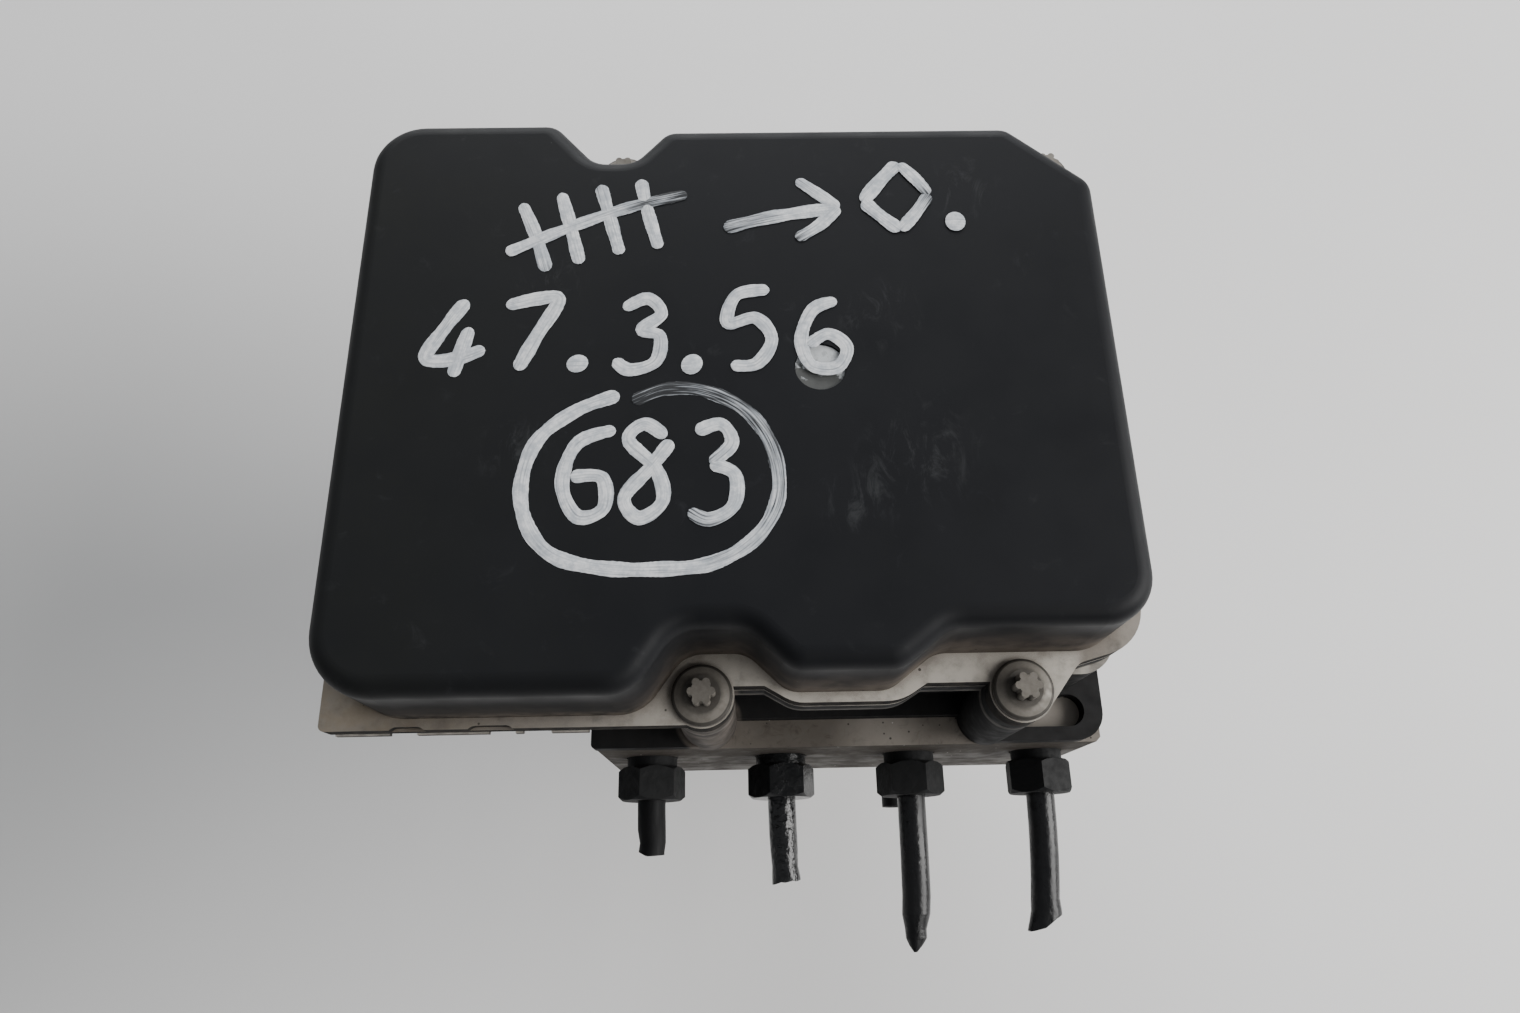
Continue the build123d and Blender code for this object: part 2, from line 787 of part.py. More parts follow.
with BuildPart() as rotor_winding:
    with BuildSketch(Plane.XY.offset(core_foot - winding_overhang)):
        with PolarLocations((slot_root + core_radius - tooth_tip) / 2, core_slots):
            SlotOverall(core_radius - tooth_tip - slot_root - seat_gap, slot_width - seat_gap)
    extrude(amount=core_length + 2 * winding_overhang - seat_gap)
    with BuildSketch(Plane.XY.offset(core_foot - winding_overhang)):
        Circle(core_radius - 2 * tooth_tip)
        Circle(slot_root, mode=Mode.SUBTRACT)
    extrude(amount=winding_overhang - seat_gap)
    with BuildSketch(Plane.XY.offset(core_foot + core_length + seat_gap)):
        Circle(core_radius - 2 * tooth_tip)
        Circle(slot_root, mode=Mode.SUBTRACT)
    extrude(amount=winding_overhang - 2 * seat_gap)
write(rotor_winding, "rotor_winding")

with BuildPart() as commutator:
    with BuildSketch(Plane.XY.offset(commutator_foot)):
        Circle(commutator_radius)
        Circle(shaft_radius + press_gap, mode=Mode.SUBTRACT)
        with PolarLocations(commutator_radius, core_slots):
            Rectangle(2 * segment_gap, segment_gap, mode=Mode.SUBTRACT)
    extrude(amount=commutator_length)
write(commutator, "commutator")

journal_foot = pump_level - journal_length / 2
with BuildPart() as motor_shaft:
    with BuildSketch(Plane.XY.offset(shaft_foot)):
        Circle(shaft_radius)
    extrude(amount=journal_foot - shaft_foot)
    with BuildSketch(Plane.XY.offset(journal_foot)):
        with Locations((eccentric_throw, 0)):
            Circle(journal_radius)
    extrude(amount=journal_length)
    chamfer(motor_shaft.edges().filter_by(GeomType.CIRCLE).sort_by(Axis.Z)[-1], block_edge)
write(motor_shaft, "motor_shaft")

with BuildPart() as eccentric_bearing:
    with BuildSketch(Plane.XY.offset(pump_level - ring_length / 2)):
        with Locations((eccentric_throw, 0)):
            Circle(ring_radius)
            Circle(journal_radius + press_gap, mode=Mode.SUBTRACT)
    extrude(amount=ring_length)
write(eccentric_bearing, "eccentric_bearing")

for name, foot, width, outer in (
    ("tail_bearing", shaft_foot, tail_bearing_width, tail_bearing_radius),
    ("front_bearing", block_bottom, front_bearing_width, front_bearing_radius),
):
    with BuildPart() as bearing:
        race = (outer - shaft_radius) / 4
        bore = shaft_radius + running_gap
        ring = [
            (0, bore),
            (0, bore + race),
            (bearing_groove, bore + race),
            (bearing_groove, outer - race),
            (0, outer - race),
            (0, outer),
            (width, outer),
            (width, outer - race),
            (width - bearing_groove, outer - race),
            (width - bearing_groove, bore + race),
            (width, bore + race),
            (width, bore),
        ]
        revolve(turned_profile(upright(0, 0, foot), ring), axis=Axis.Z)
    write(bearing, name)

brush_level = commutator_foot + commutator_length / 2
brush_foot = commutator_radius + moving_gap
holder_foot = commutator_radius + 3 * moving_gap
holder_end = holder_foot + holder_length
spring_seat = holder_end - holder_wall
holder_base = brush_level - brush_height / 2 - seat_gap - holder_wall
with BuildPart() as brush_plate:
    with BuildSketch(Plane.XY.offset(plate_bottom)):
        Circle(can_inside - seat_gap)
        Circle(front_bearing_radius, mode=Mode.SUBTRACT)
    extrude(amount=brush_plate_thickness)
    with BuildSketch(Plane.XY.offset(holder_base)):
        with Locations((0, -(holder_foot + holder_end) / 2), (0, (holder_foot + holder_end) / 2)):
            Rectangle(brush_width + 2 * seat_gap + 2 * holder_wall, holder_length)
    extrude(amount=plate_bottom - holder_base)
    with BuildSketch(Plane.XY.offset(brush_level - brush_height / 2 - seat_gap)):
        for hand in (-1, 1):
            with Locations((0, hand * (holder_foot + spring_seat) / 2)):
                Rectangle(brush_width + 2 * seat_gap, spring_seat - holder_foot)
    extrude(amount=brush_height + 2 * seat_gap, mode=Mode.SUBTRACT)
    # tower that carries the motor's contacts through the block to the control unit
    with BuildSketch(Plane.XY.offset(plate_bottom)):
        with Locations((0, contact_tower_offset)):
            Circle(contact_tower_radius)
    extrude(amount=block_top + coil_height / 2 - plate_bottom)
    with BuildSketch(Plane.XY.offset(block_top + coil_height / 2)):
        with Locations((-contact_tower_radius / 2, contact_tower_offset)):
            Circle(lead_radius)
        with Locations((contact_tower_radius / 2, contact_tower_offset)):
            Circle(lead_radius)
    extrude(amount=board_bottom - block_top - coil_height / 2)
write(brush_plate, "brush_plate")

for index, hand in enumerate((-1, 1), start=1):
    with BuildPart() as brush:
        with BuildSketch(Plane.XY.offset(brush_level - brush_height / 2)):
            with Locations((0, hand * (brush_foot + brush_length / 2))):
                Rectangle(brush_width, brush_length)
        extrude(amount=brush_height)
        chamfer(brush.edges().filter_by(Axis.X), brush_chamfer)
    write(brush, f"brush_{index}")
    with BuildPart() as brush_spring:
        foot = (0, hand * (brush_foot + brush_length), brush_level)
        height = spring_seat - brush_foot - brush_length
        spring_radius = brush_width / 2 - brush_wire
        add(spring_coil(foot, (0, hand, 0), height, spring_radius, brush_wire, brush_turns))
    write(brush_spring, f"brush_spring_{index}")

# ---------------------------------------------------------------- pump elements

piston_foot = ring_radius + eccentric_throw + moving_gap
bore_end = ring_radius + eccentric_throw + pump_bore_length
plug_foot = bore_end + pump_chamber_length
collar_foot = bore_end + moving_gap
collar_end = collar_foot + piston_collar
for index, hand in enumerate((-1, 1), start=1):
    pump_plane = Plane(origin=(0, 0, pump_level), x_dir=(hand, 0, 0), z_dir=(0, -1, 0))
    pump_axis = Axis((0, 0, pump_level), (1, 0, 0))
    with BuildPart() as pump_piston:
        piston = [
            (piston_foot, 0),
            (piston_foot, piston_radius - block_edge),
            (piston_foot + block_edge, piston_radius),
            (collar_foot, piston_radius),
            (collar_foot, piston_collar_radius),
            (collar_end, piston_collar_radius),
            (collar_end, piston_tail_radius),
            (collar_end + piston_tail, piston_tail_radius),
            (collar_end + piston_tail, 0),
        ]
        revolve(turned_profile(pump_plane, piston), axis=pump_axis)
    write(pump_piston, f"pump_piston_{index}")
    with BuildPart() as pump_spring:
        foot = (hand * collar_end, 0, pump_level)
        height = plug_foot - collar_end
        spring_radius = piston_collar_radius - pump_wire
        add(spring_coil(foot, (hand, 0, 0), height, spring_radius, pump_wire, pump_turns))
    write(pump_spring, f"pump_spring_{index}")

with BuildPart() as pump_plugs:
    for hand in (-1, 1):
        pump_plane = Plane(origin=(0, 0, pump_level), x_dir=(hand, 0, 0), z_dir=(0, -1, 0))
        plug = [
            (plug_foot, 0),
            (plug_foot, pump_plug_radius),
            (side - block_edge, pump_plug_radius),
            (side, pump_plug_radius - block_edge),
            (side, 0),
        ]
        revolve(turned_profile(pump_plane, plug), axis=Axis((0, 0, pump_level), (1, 0, 0)))
        socket_plane = Plane(origin=(hand * side, 0, pump_level), x_dir=(0, 1, 0), z_dir=(-hand, 0, 0))
        with BuildSketch(socket_plane):
            RegularPolygon(plug_socket / 2, side_count=6, major_radius=False)
        extrude(amount=plug_socket_depth, mode=Mode.SUBTRACT)
write(pump_plugs, "pump_plugs")

# ---------------------------------------------------------------- accumulators

accumulator_end = rear - accumulator_depth
for index, hand in enumerate((-1, 1), start=1):
    x = hand * accumulator_spacing / 2
    accumulator_foot = (x, accumulator_end, accumulator_level)
    accumulator_plane = Plane(origin=accumulator_foot, x_dir=(0, 1, 0), z_dir=(1, 0, 0))
    accumulator_axis = Axis((x, 0, accumulator_level), (0, 1, 0))
    outer = accumulator_radius - sliding_gap
    with BuildPart() as accumulator_piston:
        cup = [
            (moving_gap, 0),
            (moving_gap, outer - block_edge),
            (moving_gap + block_edge, outer),
            (accumulator_piston_length, outer),
            (accumulator_piston_length, outer - accumulator_piston_wall),
            (accumulator_piston_floor, outer - accumulator_piston_wall),
            (accumulator_piston_floor, 0),
        ]
        revolve(turned_profile(accumulator_plane, cup), axis=accumulator_axis)
    write(accumulator_piston, f"accumulator_piston_{index}")
    with BuildPart() as accumulator_spring:
        foot = (x, accumulator_end + accumulator_piston_floor, accumulator_level)
        height = accumulator_depth - accumulator_cap - accumulator_piston_floor
        coil_outer = outer - accumulator_piston_wall - sliding_gap
        add(
            spring_coil(
                foot,
                (0, 1, 0),
                height,
                coil_outer - accumulator_wire,
                accumulator_wire,
                accumulator_turns,
            )
        )
    write(accumulator_spring, f"accumulator_spring_{index}")

with BuildPart() as accumulator_caps:
    with BuildSketch(Plane(origin=(0, rear, accumulator_level), x_dir=(1, 0, 0), z_dir=(0, -1, 0))):
        with Locations((-accumulator_spacing / 2, 0), (accumulator_spacing / 2, 0)):
            Circle(accumulator_radius - press_gap)
    extrude(amount=accumulator_cap)
    with BuildSketch(Plane(origin=(0, rear, accumulator_level), x_dir=(1, 0, 0), z_dir=(0, -1, 0))):
        with Locations((-accumulator_spacing / 2, 0), (accumulator_spacing / 2, 0)):
            Circle(accumulator_dish_radius)
    extrude(amount=accumulator_dish, mode=Mode.SUBTRACT)
write(accumulator_caps, "accumulator_caps")

# ---------------------------------------------------------------- tube nuts and cut pipes

inlet_x = inlet_spacing / 2
inlet_y = front + inlet_inset
inlet_neck = can_flange + seat_gap
inlet_level = block_bottom - inlet_neck - nut_height - inlet_drop
hex_reach = nut_across_flats / 2 / cos(radians(30))


def tube_nut_profile(plane, neck):
    """Outline of a tube nut turned about the plane's X, whose zero is the port's face."""
    hex_end = -neck - nut_height
    return turned_profile(
        plane,
        [
            (hex_end, pipe_radius + seat_gap),
            (hex_end, nut_across_flats / 2),
            (hex_end + nut_chamfer, hex_reach),
            (-neck - nut_chamfer, hex_reach),
            (-neck, nut_across_flats / 2),
            (-neck, nut_neck_radius),
            (nut_thread, nut_neck_radius),
            (nut_thread, pipe_radius + seat_gap),
        ],
    )


with BuildPart() as tube_nuts:
    for x in port_places:
        nut_plane = Plane(origin=(x, front, port_level), x_dir=(0, 1, 0), z_dir=(1, 0, 0))
        revolve(tube_nut_profile(nut_plane, nut_neck), axis=Axis((x, 0, port_level), (0, 1, 0)))
    inlet_plane = upright(inlet_x, inlet_y, block_bottom)
    revolve(tube_nut_profile(inlet_plane, inlet_neck), axis=Axis((inlet_x, inlet_y, 0), (0, 0, 1)))
    # flats of the wheel pipes' nuts, each turned as it was left when tightened
    for x, turn in zip(port_places, nut_turns):
        hex_plane = Plane(
            origin=(x, front - nut_neck, port_level),
            x_dir=(cos(radians(turn)), 0, sin(radians(turn))),
            z_dir=(0, -1, 0),
        )
        with BuildSketch(hex_plane):
            Circle(2 * hex_reach)
            RegularPolygon(nut_across_flats / 2, side_count=6, major_radius=False, mode=Mode.SUBTRACT)
        extrude(amount=nut_height, mode=Mode.SUBTRACT)
    with BuildSketch(Plane.XY.offset(block_bottom - inlet_neck)):
        with Locations((inlet_x, inlet_y)):
            Circle(2 * hex_reach)
            RegularPolygon(nut_across_flats / 2, side_count=6, major_radius=False, mode=Mode.SUBTRACT)
    extrude(amount=-nut_height, mode=Mode.SUBTRACT)
write(tube_nuts, "tube_nuts")

flare_end = nut_thread + pipe_flare


def pipe_sections(x, reach, sections, wall):
    """Faces to loft a wheel pipe's bent end through, all of them less wall."""
    faces = []
    straight = (reach - pipe_straight, 0.0, pipe_radius, pipe_radius)
    for back, shift, half_width, half_height in (straight, *sections):
        centre = (x + shift, front - reach + back, port_level)
        with BuildSketch(Plane(origin=centre, x_dir=(1, 0, 0), z_dir=(0, -1, 0))) as section:
            Ellipse(half_width - wall, half_height - wall)
        faces.append(section.sketch.face())
    return faces


for index, x in enumerate(port_places, start=1):
    reach = pipe_reach[index - 1]
    sections = pipe_ends[index - 1]
    cut = pipe_cuts[index - 1]
    pipe_plane = Plane(origin=(x, front, port_level), x_dir=(0, 1, 0), z_dir=(1, 0, 0))
    with BuildPart() as brake_pipe:
        pipe = [
            (-pipe_straight, 0),
            (-pipe_straight, pipe_radius),
            (nut_thread + seat_gap, pipe_radius),
            (nut_thread + pipe_flare / 2, pipe_flare_radius),
            (flare_end, pipe_radius),
            (flare_end, 0),
        ]
        revolve(turned_profile(pipe_plane, pipe), axis=Axis((x, 0, port_level), (0, 1, 0)))
        loft(pipe_sections(x, reach, sections, 0.0), ruled=True)
        # the bore stays open at a cut end and closes where the pipe is pinched
        hollow = [section for section in sections if cut or section[0] > pipe_pinch]
        loft(pipe_sections(x, reach, hollow, pipe_wall), ruled=True, mode=Mode.SUBTRACT)
        with BuildSketch(Plane(origin=(x, front - pipe_straight, port_level), z_dir=(0, 1, 0))):
            Circle(pipe_radius - pipe_wall)
        extrude(amount=pipe_straight + flare_end, mode=Mode.SUBTRACT)
        if cut:
            with BuildSketch(Plane.XY.offset(port_level - 2 * pipe_radius)):
                with BuildLine():
                    edge = [(x + shift, front - reach + back) for shift, back in cut]
                    away = front - 2 * reach
                    Polyline(*edge, (edge[-1][0], away), (edge[0][0], away), close=True)
                make_face()
            extrude(amount=4 * pipe_radius, mode=Mode.SUBTRACT)
    write(brake_pipe, f"brake_pipe_{index}")

with BuildPart() as inlet_pipe:
    with BuildLine() as inlet_route:
        FilletPolyline(
            (inlet_x, inlet_y, block_bottom + flare_end),
            (inlet_x, inlet_y, inlet_level),
            (inlet_x, inlet_y - inlet_bend - inlet_reach, inlet_level),
            radius=inlet_bend,
        )
    with BuildSketch(Plane.XY.offset(block_bottom + flare_end)):
        with Locations((inlet_x, inlet_y)):
            Circle(pipe_radius)
            Circle(pipe_radius - pipe_wall, mode=Mode.SUBTRACT)
    sweep(path=inlet_route.line)
write(inlet_pipe, "inlet_pipe")

# ---------------------------------------------------------------- control unit

flange_plane = Plane.XY.offset(flange_bottom)
with BuildPart() as ecu_housing:
    # joined floor and flange, with the bosses of the four screws
    extrude(rounded_outline(flange_plane, housing_plan), amount=housing_flange)
    with BuildSketch(flange_plane):
        for start, end in lip_spans:
            with Locations((flange_left + (start + end) / 2, housing_front)):
                Rectangle(end - start, 2 * lip_reach)
    extrude(amount=lip_height)
    with BuildSketch(Plane.XY.offset(block_top)):
        with Locations(*screw_places):
            Circle(screw_boss_radius)
    extrude(amount=housing_top - block_top)
    extrude(
        rounded_outline(Plane.XY.offset(floor_top), cover_plan, -cover_wall),
        amount=floor_pocket,
        mode=Mode.SUBTRACT,
    )
    # wall of the coil chamber, standing on the valve block
    with BuildSketch(Plane.XY.offset(block_top)):
        RectangleRounded(chamber_width, chamber_depth, chamber_corner)
        RectangleRounded(
            chamber_width - 2 * chamber_wall,
            chamber_depth - 2 * chamber_wall,
            chamber_corner - chamber_wall,
            mode=Mode.SUBTRACT,
        )
    extrude(amount=flange_lift)
    # skirt round its foot, set back between the two front bosses
    skirt = rounded_outline(Plane.XY.offset(block_top), skirt_plan)
    with BuildSketch(Plane.XY.offset(block_top)) as skirt_opening:
        with Locations(((front_screw_x + slot_right) / 2, front + slot_centre)):
            SlotOverall(slot_right - front_screw_x, slot_height)
        RectangleRounded(
            chamber_width - 2 * chamber_wall,
            chamber_depth - 2 * chamber_wall,
            chamber_corner - chamber_wall,
        )
    extrude(skirt - skirt_opening.sketch, amount=skirt_height)
    # groove for the seal, screw holes, holes for the coils' leads
    with BuildSketch(Plane.XY.offset(block_top)):
        RectangleRounded(groove_width, groove_depth, chamber_corner)
        RectangleRounded(
            groove_width - 2 * seal_width - 2 * seat_gap,
            groove_depth - 2 * seal_width - 2 * seat_gap,
            chamber_corner - seal_width,
            mode=Mode.SUBTRACT,
        )
    extrude(amount=seal_height, mode=Mode.SUBTRACT)
    with BuildSketch(Plane.XY.offset(block_top)):
        with Locations(*screw_places):
            Circle(screw_shank_radius + moving_gap)
    extrude(amount=housing_top - block_top, mode=Mode.SUBTRACT)
    with BuildSketch(flange_plane):
        with Locations(*[(x + hand * lead_spacing, y) for x, y in valve_places for hand in (-1, 1)]):
            Circle(lead_radius + moving_gap)
        with Locations((0, contact_tower_offset)):
            Circle(contact_tower_radius)
    extrude(amount=housing_flange, mode=Mode.SUBTRACT)
    # posts that carry the circuit board
    with BuildSketch(Plane.XY.offset(floor_top)):
        with Locations(*post_places):
            Circle(post_radius)
    extrude(amount=post_height)
    # shroud of the plug socket, open downwards, with a lever pin at each end
    with BuildSketch(flange_plane):
        with Locations((plug_centre, 0)):
            RectangleRounded(plug_width, plug_length, plug_corner)
            RectangleRounded(
                plug_width - 2 * plug_wall,
                plug_length - 2 * plug_wall,
                plug_corner - plug_wall,
                mode=Mode.SUBTRACT,
            )
    extrude(amount=-plug_drop)
    for hand in (-1, 1):
        pin_plane = Plane(
            origin=(plug_centre, hand * plug_length / 2, flange_bottom - plug_drop / 2),
            x_dir=(1, 0, 0),
            z_dir=(0, hand, 0),
        )
        with BuildSketch(pin_plane):
            Circle(lever_pin_radius)
        extrude(amount=lever_pin_length)
    # ribs that stiffen the overhang between the shroud and the coil chamber
    rib_left = plug_centre + plug_width / 2 - plug_wall / 2
    rib_right = chamber_wall / 2 - chamber_width / 2
    with BuildSketch(flange_plane):
        with Locations(((rib_left + rib_right) / 2, 0)):
            with GridLocations(0, rib_pitch, 1, rib_count):
                Rectangle(rib_right - rib_left, rib_width)
    extrude(amount=-rib_drop)
write(ecu_housing, "ecu_housing")

with BuildPart() as ecu_seal:
    with BuildSketch(Plane.XY.offset(block_top)):
        RectangleRounded(groove_width - 2 * seat_gap, groove_depth - 2 * seat_gap, chamber_corner)
        RectangleRounded(
            groove_width - 2 * seat_gap - 2 * seal_width,
            groove_depth - 2 * seat_gap - 2 * seal_width,
            chamber_corner - seal_width,
            mode=Mode.SUBTRACT,
        )
    extrude(amount=seal_height)
write(ecu_seal, "ecu_seal")

with BuildPart() as ecu_cover:
    extrude(rounded_outline(Plane.XY.offset(housing_top), flange_plan), amount=cover_flange)
    with BuildSketch(Plane.XY.offset(housing_top)):
        with Locations(*screw_places):
            Circle(screw_boss_radius)
    extrude(amount=cover_flange)
    extrude(rounded_outline(Plane.XY.offset(cover_base), cover_plan), amount=cover_rise, taper=cover_draft)
    fillet(ecu_cover.faces().sort_by(Axis.Z)[-1].edges(), cover_edge_radius)
    # hollow for the circuit board
    extrude(
        rounded_outline(Plane.XY.offset(housing_top), cover_plan, -cover_wall),
        amount=cover_flange + cover_rise - cover_top_wall,
        taper=cover_draft,
        mode=Mode.SUBTRACT,
    )
    # seam step round the lower edge, so that the joint shows as a dark line
    seam_outline = rounded_outline(Plane.XY.offset(housing_top), flange_plan)
    extrude(
        seam_outline - rounded_outline(Plane.XY.offset(housing_top), flange_plan, -seam_depth),
        amount=seam_height,
        mode=Mode.SUBTRACT,
    )
    with BuildSketch(Plane.XY.offset(housing_top)):
        with Locations(*screw_places):
            Circle(screw_shank_radius + moving_gap)
    extrude(amount=cover_flange, mode=Mode.SUBTRACT)
    # nicks that wear has left in the flange's front edge
    with BuildSketch(Plane.XY.offset(cover_base)):
        for start, end in nick_spans:
            with Locations((flange_left + (start + end) / 2, flange_front + nick_bite - nick_radius)):
                SlotOverall(end - start + 2 * nick_radius, 2 * nick_radius)
    extrude(amount=-nick_height, mode=Mode.SUBTRACT)
    # dish for the vent
    with BuildSketch(Plane.XY.offset(cover_top)):
        with Locations((vent_x, vent_y)):
            Circle(vent_radius)
    extrude(amount=-vent_depth, mode=Mode.SUBTRACT)
    with BuildSketch(Plane.XY.offset(cover_top)):
        with Locations((vent_x, vent_y)):
            Circle(vent_pin_radius)
    extrude(amount=-cover_top_wall, mode=Mode.SUBTRACT)
write(ecu_cover, "ecu_cover")

with BuildPart() as vent_membrane:
    with BuildSketch(Plane.XY.offset(cover_top - vent_depth)):
        with Locations((vent_x, vent_y)):
            Circle(vent_radius - seat_gap)
            Circle(vent_pin_radius, mode=Mode.SUBTRACT)
    extrude(amount=vent_lip)
write(vent_membrane, "vent_membrane")

with BuildPart() as ecu_screws:
    for x, y in screw_places:
        screw = [
            (cover_base - screw_grip, 0),
            (cover_base - screw_grip, screw_shank_radius - block_edge),
            (cover_base - screw_grip + block_edge, screw_shank_radius),
            (cover_base, screw_shank_radius),
            (cover_base, screw_head_radius),
            (cover_base + screw_rim, screw_head_radius),
            (cover_base + screw_rim + screw_bevel, screw_head_radius - screw_bevel),
            (cover_base + screw_head, screw_cone_radius),
            (cover_base + screw_head, 0),
        ]
        revolve(turned_profile(upright(x, y, 0), screw), axis=Axis((x, y, 0), (0, 0, 1)))
        # raised six-lobed star
        with BuildSketch(Plane.XY.offset(cover_base + screw_head)):
            with Locations((x, y)):
                Circle(screw_star_radius - lobe_radius)
                with PolarLocations(screw_star_radius - lobe_radius, 6):
                    Circle(lobe_radius)
        extrude(amount=screw_star)
write(ecu_screws, "ecu_screws")

with BuildPart() as circuit_board:
    with BuildSketch(Plane.XY.offset(board_bottom)):
        with Locations(((board_left + board_right) / 2, (board_front + board_rear) / 2)):
            RectangleRounded(board_right - board_left, board_rear - board_front, post_radius)
    extrude(amount=board_thickness)
write(circuit_board, "circuit_board")

with BuildPart() as processor_chip:
    with BuildSketch(Plane.XY.offset(board_top)):
        with Locations((chip_x, chip_y)):
            Rectangle(chip_size, chip_size)
    extrude(amount=chip_thickness)
    with BuildSketch(Plane.XY.offset(board_top)):
        for turn in (0, 90):
            with Locations(Location((chip_x, chip_y), turn)):
                with GridLocations(chip_leg_pitch, 0, chip_legs, 1):
                    Rectangle(chip_leg_width, chip_size + 2 * chip_leg)
    extrude(amount=chip_leg_width)
write(processor_chip, "processor_chip")

with BuildPart() as filter_capacitor:
    with BuildSketch(Plane.XY.offset(board_top)):
        with Locations((capacitor_x, capacitor_y)):
            Circle(capacitor_radius)
    extrude(amount=capacitor_height)
    fillet(filter_capacitor.faces().sort_by(Axis.Z)[-1].edges(), seam_depth)
write(filter_capacitor, "filter_capacitor")

with BuildPart() as connector_pins:
    with BuildSketch(Plane.XY.offset(flange_bottom - pin_length)):
        with Locations((plug_centre, 0)):
            with GridLocations(pin_row_pitch, pin_pitch, pin_rows, pin_columns):
                Rectangle(pin_thickness, pin_width)
    extrude(amount=pin_length)
write(connector_pins, "connector_pins")
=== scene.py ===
import json
import math
import random

import bmesh
import bpy
from mathutils import Matrix, Vector

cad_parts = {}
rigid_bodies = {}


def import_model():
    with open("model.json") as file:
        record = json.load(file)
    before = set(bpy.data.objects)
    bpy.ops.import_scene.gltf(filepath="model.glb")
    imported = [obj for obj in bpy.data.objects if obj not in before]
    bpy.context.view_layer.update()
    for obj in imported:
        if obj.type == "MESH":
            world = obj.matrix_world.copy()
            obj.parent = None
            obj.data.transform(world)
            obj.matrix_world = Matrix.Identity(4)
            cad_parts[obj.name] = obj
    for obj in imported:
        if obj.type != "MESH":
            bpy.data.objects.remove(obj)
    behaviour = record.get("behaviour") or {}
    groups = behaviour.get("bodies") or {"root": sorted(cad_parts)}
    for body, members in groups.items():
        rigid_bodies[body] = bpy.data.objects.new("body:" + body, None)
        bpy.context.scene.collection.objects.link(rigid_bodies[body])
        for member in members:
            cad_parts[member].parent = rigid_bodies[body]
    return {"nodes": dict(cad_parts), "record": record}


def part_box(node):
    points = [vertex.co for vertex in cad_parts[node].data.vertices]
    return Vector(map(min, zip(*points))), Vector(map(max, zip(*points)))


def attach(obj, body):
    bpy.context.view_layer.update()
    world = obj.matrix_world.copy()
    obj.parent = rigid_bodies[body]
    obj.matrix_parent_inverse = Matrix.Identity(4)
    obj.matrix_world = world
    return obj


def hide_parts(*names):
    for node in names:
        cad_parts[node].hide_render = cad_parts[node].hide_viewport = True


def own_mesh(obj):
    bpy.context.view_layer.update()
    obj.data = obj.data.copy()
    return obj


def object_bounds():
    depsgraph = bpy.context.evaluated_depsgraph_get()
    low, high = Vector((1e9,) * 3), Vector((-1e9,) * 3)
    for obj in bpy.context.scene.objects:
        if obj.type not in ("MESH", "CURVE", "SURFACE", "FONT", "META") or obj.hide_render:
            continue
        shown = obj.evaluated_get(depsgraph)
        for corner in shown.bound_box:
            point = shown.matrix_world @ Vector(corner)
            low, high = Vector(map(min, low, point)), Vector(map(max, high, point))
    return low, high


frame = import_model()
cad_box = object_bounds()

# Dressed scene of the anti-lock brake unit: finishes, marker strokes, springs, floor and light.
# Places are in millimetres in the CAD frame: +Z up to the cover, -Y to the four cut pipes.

MM = 0.001
nodes = frame["nodes"]
objects = bpy.context.scene.collection.objects

# levels and places of the CAD model that the dirt, wear and painted shade follow
COVER_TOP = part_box("ecu_cover")[1][2] / MM
LEDGE = 126.3
FLANGE_FOOT = 118.5
SKIRT_TOP = 102.0
BLOCK_TOP = 99.0
BLOCK_FRONT = -53.0
SCREW_HEAD_TOP = 128.0
SCREWS = [(-24.85, -48.3), (24.85, -48.3), (-39.2, 48.3), (39.2, 48.3)]
SECOND_NUT = (-11.7, -59.0, 85.8)


# ---------------------------------------------------------------- short calls for node trees


